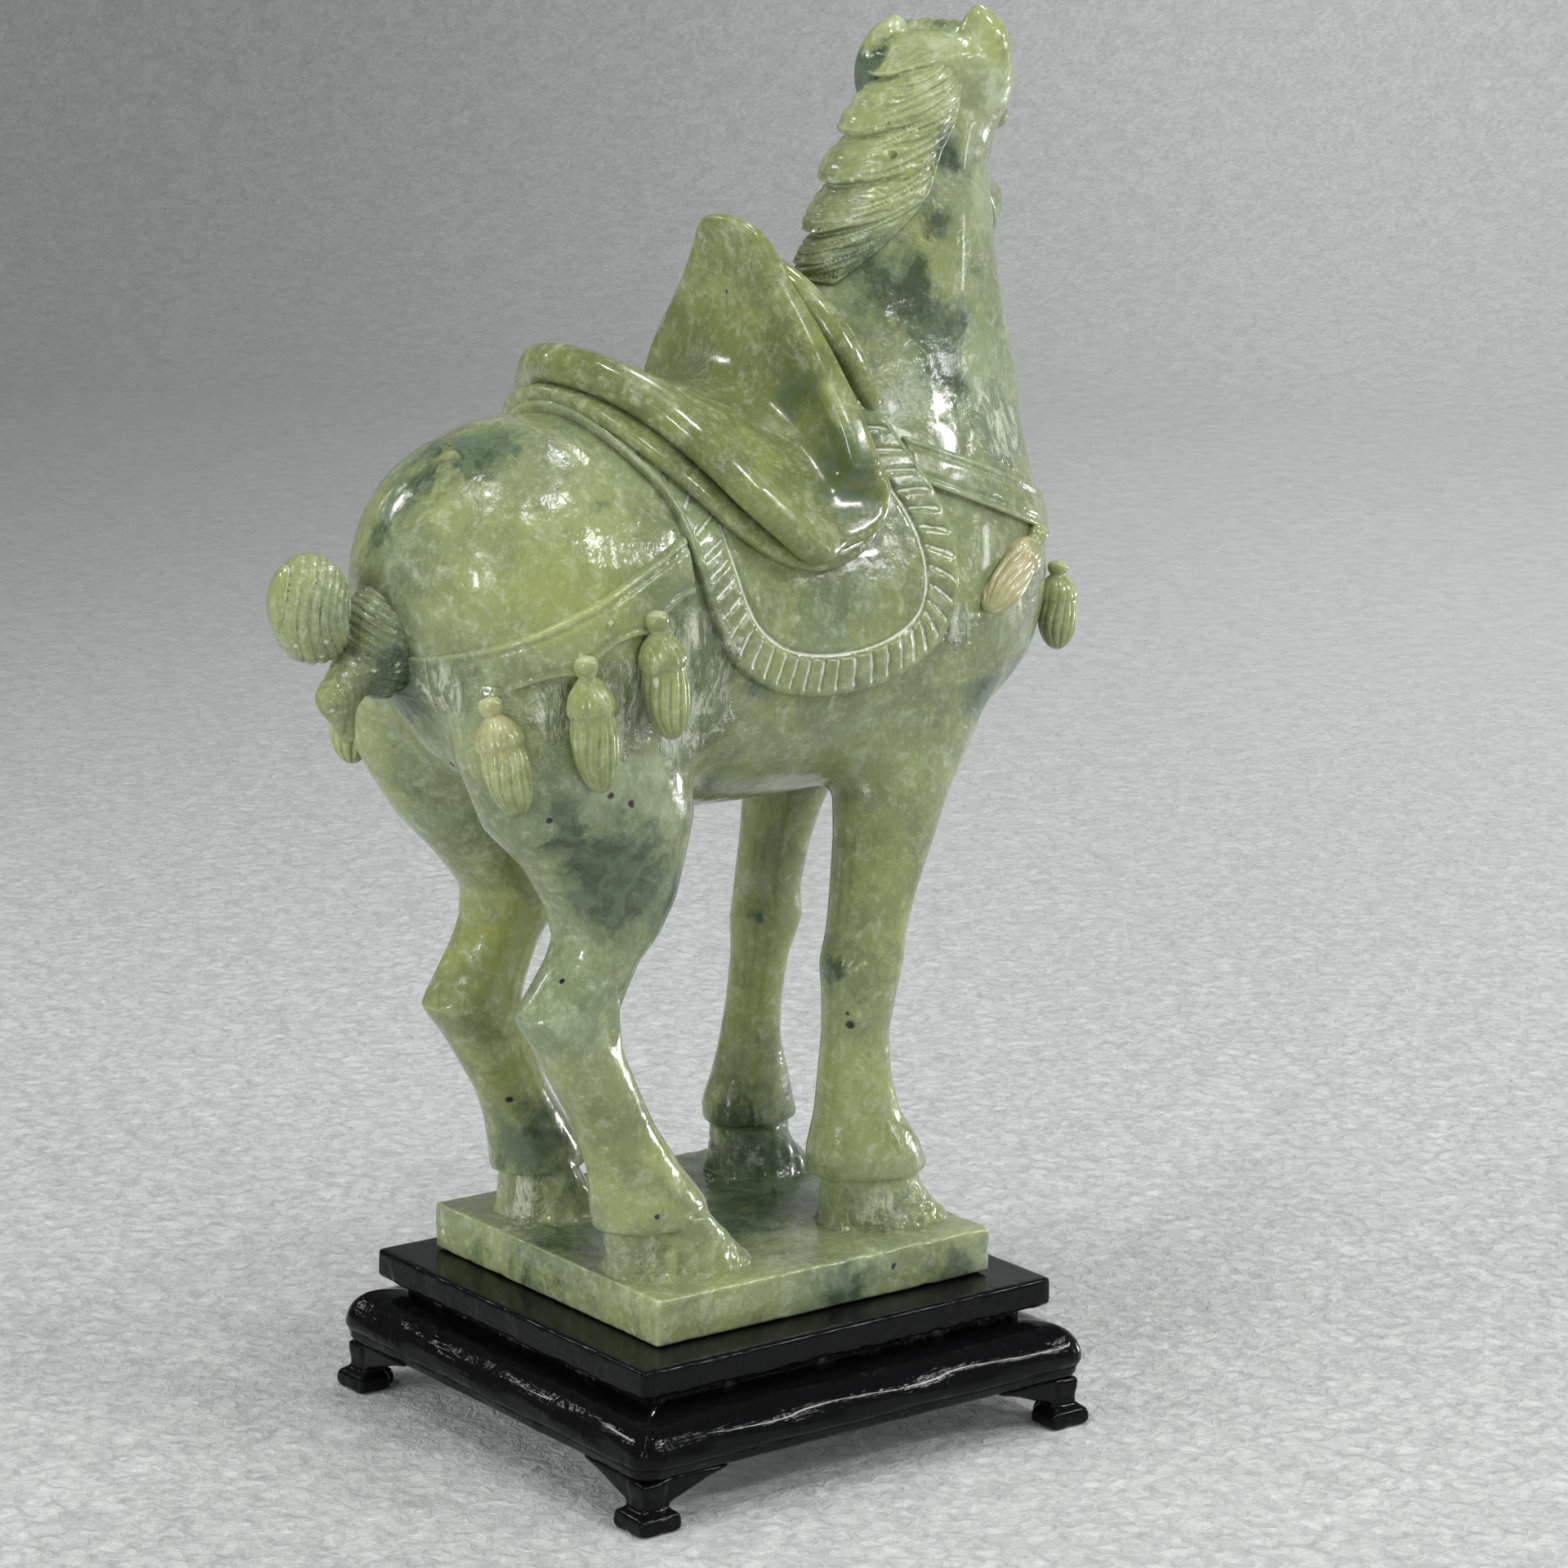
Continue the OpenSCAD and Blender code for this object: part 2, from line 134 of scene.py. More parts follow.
def follow(rows, column, t):
    """Smooth curve through one column of a table, over its first column."""
    return through([row[0] for row in rows], [row[column] for row in rows], t)


def oval(offsets, radii):
    """Distance to an ellipse or ellipsoid, from the offsets to its middle and its half-axes."""
    k0 = np.sqrt(sum((u / a) ** 2 for u, a in zip(offsets, radii))) + 1e-6
    k1 = np.sqrt(sum((u / (a * a)) ** 2 for u, a in zip(offsets, radii))) + 1e-6
    return k0 * (k0 - 1) / k1


def ellipsoid(x, y, z, centre, radii):
    return oval((x - centre[0], y - centre[1], z - centre[2]), radii)


def beads(x, y, z, points, blend=0.0):
    """Round tube through points (x, y, z, radius)."""
    d = None
    for p, q in zip(points, points[1:]):
        a, b = np.array(p[:3], float), np.array(q[:3], float)
        ab = b - a
        t = ((x - a[0]) * ab[0] + (y - a[1]) * ab[1] + (z - a[2]) * ab[2]) / (ab @ ab)
        t = np.clip(t, 0, 1)
        part = np.sqrt((x - a[0] - t * ab[0]) ** 2 + (y - a[1] - t * ab[1]) ** 2
                       + (z - a[2] - t * ab[2]) ** 2) - (p[3] + (q[3] - p[3]) * t)
        d = part if d is None else smooth_min(d, part, blend)
    return d


def outline(u, v, points):
    """Distance in a plane to a closed outline, negative inside, and how far round it the nearest point is."""
    points = np.asarray(points, float)
    best = np.full(np.broadcast(u, v).shape, 1e9, np.float32)
    along = np.zeros_like(best)
    inside = np.zeros(best.shape, bool)
    done = 0.0
    for a, b in zip(points, np.roll(points, -1, axis=0)):
        ab = b - a
        length = math.hypot(*ab)
        t = np.clip(((u - a[0]) * ab[0] + (v - a[1]) * ab[1]) / length ** 2, 0, 1)
        dist = np.hypot(u - a[0] - t * ab[0], v - a[1] - t * ab[1])
        closer = dist < best
        best = np.where(closer, dist, best)
        along = np.where(closer, done + t * length, along)
        crosses = (a[1] > v) != (b[1] > v)
        if a[1] != b[1]:
            inside ^= crosses & (u < a[0] + (v - a[1]) / (b[1] - a[1]) * ab[0])
        done += length
    return np.where(inside, -best, best), along


def rounded(points, turns=3):
    """Cuts the corners of a closed outline, a few times over."""
    points = np.asarray(points, float)
    for _ in range(turns):
        after = np.roll(points, -1, axis=0)
        points = np.stack([0.75 * points + 0.25 * after, 0.25 * points + 0.75 * after], 1).reshape(-1, 2)
    return points


class Block:
    """A block of points to carve: d is the distance to the surface, negative inside the stone."""

    def __init__(self, low, high, step):
        self.step = step * GRID_SCALE
        self.low = np.array(low, np.float32)
        counts = np.ceil((np.array(high) - self.low) / self.step).astype(int) + 1
        self.lines = [(self.low[i] + self.step * np.arange(n)).astype(np.float32) for i, n in enumerate(counts)]
        self.d = np.full(counts, OUTSIDE, np.float32)

    def part(self, low=None, high=None):
        """Index of the points between two corners, and their coordinates."""
        low = self.low if low is None else low
        high = [line[-1] for line in self.lines] if high is None else high
        cut = tuple(slice(*np.searchsorted(line, [low[i], high[i]])) for i, line in enumerate(self.lines))
        x, y, z = (line[s] for line, s in zip(self.lines, cut))
        return cut, x[:, None, None], y[None, :, None], z[None, None, :]

    def add(self, shape, blend=0.0, low=None, high=None):
        cut, x, y, z = self.part(low, high)
        self.d[cut] = smooth_min(self.d[cut], shape(x, y, z), blend)

    def lower(self, depth, low=None, high=None):
        """Takes a depth of stone, given by a function of place, off the surface."""
        cut, x, y, z = self.part(low, high)
        self.d[cut] += depth(x, y, z)

    def piece(self, name, smoothing=2):
        """Mesh object of the surface, closed where the stone reaches the sides of the block."""
        for axis in range(3):
            for end in (0, -1):
                face = np.moveaxis(self.d, axis, 0)[end]
                np.maximum(face, 0.4 * self.step, out=face)
        close_pinches(self.d, 0.05 * self.step)
        points, quads = without_crumbs(*zero_surface(self.d))
        points = self.low + self.step * points
        for _ in range(smoothing):
            points = relaxed(points, quads)
        return solid(name, points, quads)


def close_pinches(d, depth):
    """Fills a point wherever two parts of the stone would meet only along a line, so that no edge has four faces."""
    def corner(u, v, i, j):
        pick = [slice(None)] * 3
        pick[u] = slice(i, d.shape[u] - 1 + i)
        pick[v] = slice(j, d.shape[v] - 1 + j)
        return d[tuple(pick)]

    found = True
    while found:
        found = False
        for u, v in ((0, 1), (0, 2), (1, 2)):
            a, b, c, e = (corner(u, v, i, j) for i, j in ((0, 0), (1, 1), (0, 1), (1, 0)))
            for p, q, r, s in ((a, b, c, e), (c, e, a, b)):
                pinch = (p < 0) & (q < 0) & (r >= 0) & (s >= 0)
                if pinch.any():
                    found = True
                    nearer = pinch & (r <= s)
                    s[pinch & ~nearer] = -depth
                    r[nearer] = -depth


def without_crumbs(points, quads, least=0.03):
    """Leaves out loose specks: separate shells with fewer points than this share of the largest."""
    shell = np.arange(len(points))
    while True:
        lowest = shell.copy()
        np.minimum.at(lowest, quads.ravel(), np.repeat(shell[quads].min(1), 4))
        lowest = lowest[lowest]
        if (lowest == shell).all():
            break
        shell = lowest
    size = np.bincount(shell, minlength=len(points))[shell]
    kept = size >= least * size.max()
    number = np.cumsum(kept) - 1
    return points[kept], number[quads[kept[quads[:, 0]]]]


def zero_surface(d):
    """One point in each cell that the surface crosses, joined by a quad across each crossed edge."""
    sign = d < 0
    corners = [(i, j, k) for i in (0, 1) for j in (0, 1) for k in (0, 1)]
    count = sum(sign[i:d.shape[0] - 1 + i, j:d.shape[1] - 1 + j, k:d.shape[2] - 1 + k].astype(np.int8)
                for i, j, k in corners)
    active = (count > 0) & (count < len(corners))
    cells = np.argwhere(active)
    number = np.full(active.shape, -1, np.int64)
    number[active] = np.arange(len(cells))
    return middles(d, cells, corners), np.concatenate([quads_across(sign, number, axis) for axis in range(3)])


def middles(d, cells, corners):
    """Mean place in each cell of the points where the surface crosses its edges."""
    total = np.zeros((len(cells), 3))
    hits = np.zeros(len(cells))
    for a in corners:
        for axis in range(3):
            if a[axis]:
                continue
            b = tuple(a[m] + (m == axis) for m in range(3))
            va = d[tuple((cells + a).T)]
            vb = d[tuple((cells + b).T)]
            cross = (va < 0) != (vb < 0)
            t = np.where(cross, va / np.where(va == vb, 1, va - vb), 0)
            place = np.array(a) + t[:, None] * (np.array(b) - np.array(a))
            total += place * cross[:, None]
            hits += cross
    return cells + total / hits[:, None]


def quads_across(sign, number, axis):
    """Quads, facing outward, across the edges along an axis that the surface crosses."""
    u, v = [m for m in range(3) if m != axis]
    here, there = [slice(None)] * 3, [slice(None)] * 3
    here[axis], there[axis] = slice(0, -1), slice(1, None)
    change = np.argwhere(sign[tuple(here)] != sign[tuple(there)])
    change = change[(change[:, u] > 0) & (change[:, v] > 0)
                    & (change[:, u] < number.shape[u]) & (change[:, v] < number.shape[v])]
    ring = []
    for du, dv in ((-1, -1), (0, -1), (0, 0), (-1, 0)):
        cell = change.copy()
        cell[:, u] += du
        cell[:, v] += dv
        ring.append(number[tuple(cell.T)])
    quad = np.stack(ring, 1)
    outward = sign[tuple(change.T)]
    flip = outward if axis != 1 else ~outward
    quad[~flip] = quad[~flip][:, ::-1]
    return quad


def relaxed(points, quads, amount=0.5):
    """Moves each point part of the way to the middle of its neighbours."""
    total = np.zeros_like(points)
    count = np.zeros(len(points))
    for a, b in ((0, 1), (1, 2), (2, 3), (3, 0)):
        for p, q in ((quads[:, a], quads[:, b]), (quads[:, b], quads[:, a])):
            count += np.bincount(p, minlength=len(points))
            for axis in range(3):
                total[:, axis] += np.bincount(p, points[q, axis], minlength=len(points))
    return points + amount * (total / count[:, None] - points)


def solid(name, points, faces):
    """Mesh object from points in mm about the stand's middle."""
    mesh = bpy.data.meshes.new(name)
    place = (np.asarray(points, float) + (STAND_X, 0, 0)) * MM
    mesh.from_pydata(place.tolist(), [], [list(map(int, f)) for f in faces])
    mesh.update()
    mesh.shade_smooth()
    piece = bpy.data.objects.new(name, mesh)
    bpy.context.scene.collection.objects.link(piece)
    return piece


# ---- the horse's body -------------------------------------------------------------------------

# rump, barrel and chest: x, centre z, half-width, half-height
TORSO = [(-104.5, 221, 0, 0), (-102, 221, 10, 11), (-97.5, 220, 19.5, 21), (-91, 218, 28.5, 31),
         (-80, 215, 37.5, 40.5), (-63, 212.5, 42.5, 47.5), (-40, 211, 43, 48.5), (-15, 207, 41.5, 47),
         (10, 205, 41, 45), (35, 208, 40, 46), (58, 211, 36.5, 43.5), (74, 212, 31, 37.5), (86, 212, 22, 28.5),
         (93, 212, 13, 19), (98, 212, 0, 0)]
# x, y, z, half-length, half-width
NECK = [(46, 0, 200, 36, 28), (46, 0, 222, 40, 30), (47, 0, 240, 41, 30), (48, 0, 255, 40.5, 27),
        (49, 0, 264, 39, 24), (50.5, 0, 276, 35, 20), (54, 0, 291, 28, 17), (57, 1, 304, 24, 16),
        (60.5, 2, 318, 19, 14.5), (64, 3, 328, 17.5, 14.5), (68, 4, 341, 15, 13)]
RIGHT_HIND = [(-58, -16, 216, 24, 12), (-62, -20, 200, 32, 18), (-61, -22, 182, 31, 19), (-57.5, -24, 166, 28.4, 17.5),
              (-53, -24, 155, 21.7, 15), (-51.6, -24.5, 145, 17.3, 13), (-53, -25, 137, 13.6, 11.5),
              (-57, -25, 131, 12.2, 10.5), (-62, -25, 123, 13.4, 10), (-64, -25, 119, 13.8, 10),
              (-60.5, -25, 109, 11.2, 9.5), (-50, -25, 89, 10.3, 9), (-43.6, -25, 77, 12.2, 10),
              (-39.3, -25, 67.6, 15.6, 11.5), (-38.3, -25, 62.5, 16, 11.8)]
LEFT_HIND = [(-58, 16, 216, 24, 12), (-63, 21, 200, 33, 19), (-60, 24, 178, 31, 19), (-54, 24, 160, 25, 17),
             (-49.5, 24, 149, 18.5, 14), (-46, 24.5, 139, 13.8, 12), (-47.5, 25, 131, 12.5, 10.5),
             (-50.5, 25.5, 125, 11.5, 10), (-56, 26, 113, 13, 10), (-57, 26, 110, 13.6, 10), (-52, 27, 101, 11.5, 9.5),
             (-43, 29, 85, 9.6, 8.7), (-38.5, 30, 77, 10.6, 9), (-34.5, 30, 67.5, 12.8, 10),
             (-33.5, 30, 62.5, 13.3, 10.4)]
RIGHT_FORE = [(46, -14, 206, 18, 12), (44, -18, 190, 26, 17), (41, -21, 175, 20, 15), (36, -23, 161, 15.5, 13),
              (33.3, -24, 150, 13.5, 11.5), (30.4, -24, 137, 11.5, 10.2), (28.5, -24, 127, 10.5, 9.7),
              (27.2, -24, 119, 11, 10), (26.6, -24, 111, 9.8, 9.2), (25.7, -24, 101, 8.7, 8.5), (25.7, -24, 91, 9.5, 9),
              (26.8, -24, 80, 11.5, 10), (29.2, -24, 70, 16, 12.3), (31, -24, 64, 16.6, 12.8)]
LEFT_FORE = [(46, 14, 206, 18, 12), (46, 18, 190, 26, 17), (45, 21, 175, 19, 14), (43, 24, 160, 13.5, 11.5),
             (41, 27, 149, 11, 10), (40, 29, 138, 9.6, 8.8), (38.7, 30, 126, 9, 8.5), (38.4, 30, 118, 9.7, 9),
             (36.5, 30, 107.5, 7.7, 7.5), (35, 30, 96, 7.5, 7.2), (34, 30, 86, 8.2, 7.8), (34, 30, 76, 11, 9),
             (33.5, 30, 69, 13, 10.3), (34.5, 30, 64, 13.5, 10.6)]
# sole of each hoof: x, y, half-length, half-width
SOLES = [(RIGHT_HIND, (-29.5, -23, 20.5, 14.5)), (LEFT_HIND, (-28, 30, 16, 13)),
         (RIGHT_FORE, (37, -22, 18, 14)), (LEFT_FORE, (38, 29, 15.5, 12.5))]


def torso(x, y, z):
    keys = [s[0] for s in TORSO]
    mid = follow(TORSO, 1, x)
    # squares are followed, so that both ends come out round
    radii = [np.sqrt(np.maximum(through(keys, [s[i] ** 2 for s in TORSO], x), 0.2)) for i in (2, 3)]
    return smooth_max(oval((y, z - mid), radii), np.maximum(keys[0] - x, x - keys[-1]), 1)


def column(sections, crisp=0.0):
    """Upright shape through level sections, such as a leg or the neck."""
    keys = [s[2] for s in sections]

    def shape(x, y, z):
        cx, cy, a, b = (crisp * straight(keys, [s[i] for s in sections], z)
                        + (1 - crisp) * through(keys, [s[i] for s in sections], z) for i in (0, 1, 3, 4))
        d = oval((x - cx, y - cy), (a, b))
        return smooth_max(d, np.maximum(min(keys) - z, z - max(keys)), 1.2)

    return shape


def padded_horse(x, y, z):
    """Torso and neck, which the saddle and the harness are laid on."""
    return smooth_min(torso(x, y, z), column(NECK)(x, y, z), 14)


def hoof(leg, sole):
    """Wedge with chiselled sides under a narrow pastern, running out forward."""
    x0, y0, a, b = sole
    ankle = leg[-1]
    top = ankle[2] + 3
    low = PLINTH_TOP - 1

    def shape(x, y, z):
        rise = z - low
        y = y - straight((low, top), (y0, ankle[1]), z)
        x = x - x0
        flare = 1.6 * np.exp(-rise / 2.2)
        # the way each side faces, its reach from the middle and how far it leans in as it rises
        sides = [(0, a - 0.5, 1.05), (34, 0.93 * a, 0.75), (-34, 0.93 * a, 0.75), (80, b, 0.16), (-80, b, 0.16),
                 (125, b + 0.5, 0.12), (-125, b + 0.5, 0.12), (180, a - 1.5, -0.1)]
        d = None
        for turn, reach, slope in sides:
            c, n = math.cos(math.radians(turn)), math.sin(math.radians(turn))
            face = (x * c + y * n - reach - flare + slope * rise) / math.hypot(1, slope)
            d = face if d is None else smooth_max(d, face, 1.8)
        return smooth_max(d, np.maximum(z - top, low - z), 0.5)

    def pastern(x, y, z):
        stem = oval((x - ankle[0] - 1, y - ankle[1]), (ankle[3] - 3.4, ankle[4] - 2.6))
        return np.maximum(stem, np.maximum(z - top, low - z))

    def both(x, y, z):
        return smooth_min(shape(x, y, z), pastern(x, y, z), 2.5)

    return both


POLL = np.array((66, 4, 341.5), float)
YAW, PITCH = math.radians(40), math.radians(41)
FACE = np.array((math.cos(PITCH) * math.cos(YAW), math.cos(PITCH) * math.sin(YAW), -math.sin(PITCH)))
SIDE = np.array((-math.sin(YAW), math.cos(YAW), 0))
BROW = np.cross(FACE, SIDE)
# share of the face, centre below the brow line, half-width, half-depth
HEAD = [(-9, 4, 11, 6), (-1, 4, 17.5, 10), (6, 5, 18.5, 13), (14, 5.5, 16.5, 14), (30, 4.5, 12.5, 12.5),
        (46, 3.5, 9.5, 10), (60, 3.5, 10.6, 10), (66, 4, 9.5, 8.8), (70, 4.5, 5, 4.5)]
# lumps (1) and hollows (-1) on both sides of the face: centre and radii in head_place's coordinates, and blend
FEATURES = [(1, (6, 13.6, -0.5), (10, 6.3, 8), 5),         # cheek
            (1, (18, 13.5, 3.5), (7, 4.5, 4.5), 3),        # brow
            (-1, (22, 17.5, -1), (6, 3.6, 4.2), 2),        # eye socket
            (1, (21.5, 13.6, -1), (4.2, 3.6, 3.4), 0.6),   # eye
            (1, (61, 7, 1.5), (6, 4, 4.5), 2.5),           # nostril wing
            (-1, (64, 9, 2), (3, 3, 2.2), 1),              # nostril
            (1, (63, 0, -9), (5, 6, 4), 2.5)]              # chin


def head_place(x, y, z):
    """Coordinates along the face, to the head's left and out of the brow."""
    x, y, z = x - POLL[0], y - POLL[1], z - POLL[2]
    return tuple((x * v[0] + y * v[1] + z * v[2]).astype(np.float32) for v in (FACE, SIDE, BROW))


def skull(t, s, u):
    """Distance to the long shape of the head, without its ends or its features."""
    drop, a, b = (follow(HEAD, i, t) for i in (1, 2, 3))
    return oval((s, u + drop), (a, b))


def head(x, y, z):
    t, s, u = head_place(x, y, z)
    d = smooth_max(skull(t, s, u), np.maximum(HEAD[0][0] - t, t - HEAD[-1][0]), 3)
    side = np.abs(s)
    for sign, centre, radii, blend in FEATURES:
        lump = ellipsoid(t, side, u, centre, radii)
        d = smooth_min(d, lump, blend) if sign > 0 else smooth_max(d, -lump, blend)
    mouth = np.abs(u + 6.5 + 0.05 * (t - 60)) - 0.7
    return smooth_max(d, -np.maximum(np.maximum(mouth, 52 - t), 5.5 - side), 0.6)


def ear(side):
    """Small leaf standing on the poll, hollow towards the face."""
    lift = 1.6 if side < 0 else -1.6
    leaf = column([(0, 1, 334 + lift, 4, 6), (0, 0.6, 341 + lift, 4.4, 7), (0.5, 0, 347 + lift, 4, 6.2),
                   (1, -0.8, 351 + lift, 2.8, 3.8), (1.2, -1.4, 353.6 + lift, 1, 1)])

    def shape(x, y, z):
        x, y = x - POLL[0] - 1.5, y - POLL[1]
        ahead = x * math.cos(YAW) + y * math.sin(YAW) + 3
        aside = (-x * math.sin(YAW) + y * math.cos(YAW)) * side - 12
        hollow = ellipsoid(ahead, aside, z, (4.4, 0, 346 + lift), (2.8, 3.6, 6.5))
        return smooth_max(leaf(ahead, aside, z), -hollow, 1)

    return shape


def oval_mark(centre, half_width, half_height, facing):
    """Groove in an oval on the side of a leg, facing an azimuth."""
    nx, ny = math.cos(math.radians(facing)), math.sin(math.radians(facing))

    def depth(x, y, z):
        out = (x - centre[0]) * nx + (y - centre[1]) * ny
        across = -(x - centre[0]) * ny + (y - centre[1]) * nx
        ring = (np.sqrt((across / half_width) ** 2 + ((z - centre[2]) / half_height) ** 2) - 1) * half_width
        return 0.9 * bump(ring, 0.8) * (out > 0) - 0.5 * bump(np.maximum(ring + 1.5, 0), 1.5) * (out > 0)

    return depth


def hoof_chips(x, y, z):
    """Flat tool cuts running down the rough hooves, fading out above them."""
    cuts = np.abs(worn(x, y, 0.35 * z, 5, 1.6, 3)) + 0.5 * np.abs(worn(x, y, 0.6 * z, 2.6, 1.2, 5))
    return (cuts - 0.5) * fade(-z, -64, -57)


def rump_crease(x, y, z):
    """Shallow line down the back of the rump, to the right of the tail."""
    return 0.8 * bump(y + 11.6 + 0.8 * np.sin(z / 9), 0.7) * fade(z, 203, 208) * fade(-z, -240, -232) * (x < -80)


def chisel_marks(x, y, z):
    """Rough vertical strokes left between the tassels."""
    where = np.maximum(bump(np.hypot(x + 62, z - 196), 9), bump(np.hypot(x + 44, z - 199), 9))
    across = x + 0.25 * z + 1.2 * np.sin(z / 5.5) + 0.5 * np.sin(z / 1.9 + x)
    return 0.45 * where * (np.sin(across * 2.3) + 0.6 * np.sin(across * 4.1 + 1))


def horse_body():
    """Trunk, neck, head, ears, legs and hooves as one skin."""
    block = Block((-107, -50, PLINTH_TOP - 1.2), (112, 48, 359), 0.8)
    block.add(padded_horse, 0)
    for leg in (RIGHT_HIND, LEFT_HIND, RIGHT_FORE, LEFT_FORE):
        side = 1 if leg[1][1] > 0 else -1
        low = (min(s[0] - s[3] for s in leg) - 12, -1 if side > 0 else -50, leg[-1][2] - 2)
        high = (max(s[0] + s[3] for s in leg) + 12, 50 if side > 0 else 1, leg[0][2] + 12)
        block.add(column(leg, 0.7), 5, low, high)
    for leg, sole in SOLES:
        low = (sole[0] - 32, sole[1] - 24, PLINTH_TOP - 2)
        high = (sole[0] + 32, sole[1] + 24, leg[-1][2] + 6)
        block.add(hoof(leg, sole), 0.7, low, high)
    head_low, head_high = (40, -30, 280), (112, 48, 359)
    block.add(head, 4, head_low, head_high)
    for side in (-1, 1):
        block.add(ear(side), 1.6, head_low, head_high)
    for _, (x, y, _, _) in SOLES:
        block.lower(hoof_chips, (x - 30, y - 22, PLINTH_TOP), (x + 30, y + 22, 64))
    block.lower(rump_crease, (-107, -25, 200), (-85, -5, 242))
    block.lower(chisel_marks, (-84, -50, 168), (-36, -30, 216))
    block.lower(oval_mark((27, -24, 116), 3.4, 6.6, 232), (10, -40, 105), (45, -10, 127))
    block.lower(oval_mark((-58, -25, 118), 3, 6.5, 290), (-75, -40, 107), (-45, -10, 129))
    return in_place_of(block.piece("carved_horse"), "jade", "torso", "neck", "head", "left_ear", "right_ear",
                       "right_hind_leg", "left_hind_leg", "right_fore_leg", "left_fore_leg",
                       "right_hind_hoof", "left_hind_hoof", "right_fore_hoof", "left_fore_hoof")


# ---- hair -------------------------------------------------------------------------------------

def groove(phase):
    """1 at each whole number of the phase, falling away on both sides."""
    return (1 - np.abs(np.sin(np.pi * phase))) ** 2


# foremost line of the mane as seen from the horse's right rear: height, reach
MANE_FRONT = [(284, 26), (292, 40), (300, 52), (306, 59), (310, 62), (319, 65.5), (327, 70), (338, 72), (350, 71)]
SLANT = 0.78
LOCK = 12.6


def mane():
    """Overlapping locks that fall over the crest to the right and end in a raised, combed edge."""
    block = Block((8, -28, 278), (84, 24, 353), 0.42)
    crest = NECK[:-3] + [(61, 2, 318, 21.5, 15), (65, 3, 330, 18, 14.5), (66, 3.5, 337, 15, 12.5), (67, 4, 343, 10, 9)]

    def shape(x, y, z):
        neck = column(crest)(x, y, z)
        front = follow(MANE_FRONT, 1, z)
        far = front - x + SLANT * np.minimum(y, 0)
        inside = far - 15 * fade(y, -1, 9) - SLANT * np.maximum(y, 0)
        inside = np.minimum(inside, 1.2 * (z - 288.5 + 0.12 * (x - 20)))
        flow = z + 0.16 * far - 7 * np.exp(-np.clip(far, 0, 60) / 7) + 0.5 * np.sin(0.2 * far + 0.3 * z)
        lock = (flow - 301.8) / LOCK
        within = lock - np.floor(lock)
        shingle = fade(within, 0, 0.16) * (1 - 0.8 * within)
        back = fade(far, 5, 26)
        lobe = np.sin(math.pi * within ** 0.75) ** 0.6
        thick = 1.3 + 2 * fade(inside, 0, 5) + back * (1.4 * shingle + 2.6 * lobe - 1.8)
        lean = 0.05 * np.sin(4.3 * np.floor(lock)) * far
        comb = fade(inside, -1, 2) * (0.6 + 0.4 * fade(-far, -30, -8))
        wander = 0.5 * np.sin(0.31 * far + 0.7 * flow) + 0.3 * np.sin(0.83 * flow + 0.1 * far)
        thick -= 0.9 * groove((flow + lean) / 2.7 + 0.35 * wander) * comb
        thick -= 0.5 * groove((flow + lean) / 1.5 + 0.8 * wander) * comb
        thick = np.where(inside > 0, thick, thick + 3 * inside)
        hair = neck - np.clip(thick, -4, 9)
        return smooth_max(smooth_max(hair, -(neck + 3), 0.5), z - 344.5 + 0.12 * np.abs(y - 4), 2.5)

    block.add(shape)
    return in_place_of(block.piece("carved_mane", 1), "jade", "mane")


def forelock():
    """A combed tongue of hair lying down the brow."""
    block = Block((48, -22, 322), (104, 38, 358), 0.45)

    def shape(x, y, z):
        t, s, u = head_place(x, y, z)
        bone = skull(t, s, u)
        width = through([-7, -2, 6, 15, 27], [9, 10, 8.5, 5.5, 0.5], t)
        inside = np.minimum(width - np.abs(s), np.minimum(t + 7, 27 - t) * 0.8)
        thick = -5 + (8.2 + 2.5 * bump(t - 1, 7)) * fade(inside, -2, 3)
        thick -= 0.8 * groove(s / np.maximum(width, 2) * 2.5 + 0.03 * t) * fade(inside, 0, 2)
        return smooth_max(np.maximum(np.maximum(bone - thick, -(bone + 3)), -8 - u), -7.5 - t, 1)

    block.add(shape)
    return in_place_of(block.piece("carved_forelock", 1), "jade", "forelock")


def tail():
    """Tail tied up in a knot: a standing loop, a wrapped bun against the rump and a short loose end."""
    block = Block((-137, -17, 180), (-86, 17, 238), 0.42)

    def loop(x, y, z):
        return smooth_min(ellipsoid(x, y, z, (-120.8, 0, 220), (10, 9.5, 12.2)),
                          ellipsoid(x, y, z, (-119.5, 0, 212), (7.5, 8.5, 6)), 4)

    def bun(x, y, z):
        return ellipsoid(x, y, z, (-101.5, 0, 209.5), (9.5, 10.5, 14))

    def end(x, y, z):
        return beads(x, y, z, [(-108, 0, 203, 6), (-113.5, -0.5, 197, 4.6), (-111, -1, 188, 2)], 2)

    def shape(x, y, z):
        a, b, c = loop(x, y, z), bun(x, y, z), end(x, y, z)
        strand_a = np.hypot(x + 106, z - 219) + 0.12 * y
        a = a + 0.7 * groove(strand_a / 2.3 + 0.15 * np.sin(z / 5)) + 0.4 * groove(strand_a / 0.95)
        strand_b = np.hypot(x + 96, z - 233) + 0.15 * y
        b = b + 0.6 * groove(strand_b / 2.1) + 0.35 * groove(strand_b / 0.95 + 0.2)
        strand_c = x + 0.3 * z + 0.7 * y
        c = c + 0.6 * groove(strand_c / 2.4)
        return smooth_min(smooth_min(a, b, 2.2), c, 1.2)

    block.add(shape)
    return in_place_of(block.piece("carved_tail", 1), "jade", "tail")


# ---- saddle and harness -----------------------------------------------------------------------

BLANKET_T = 3.2
PAD_T = 6.4
PLATE_T = 11.5
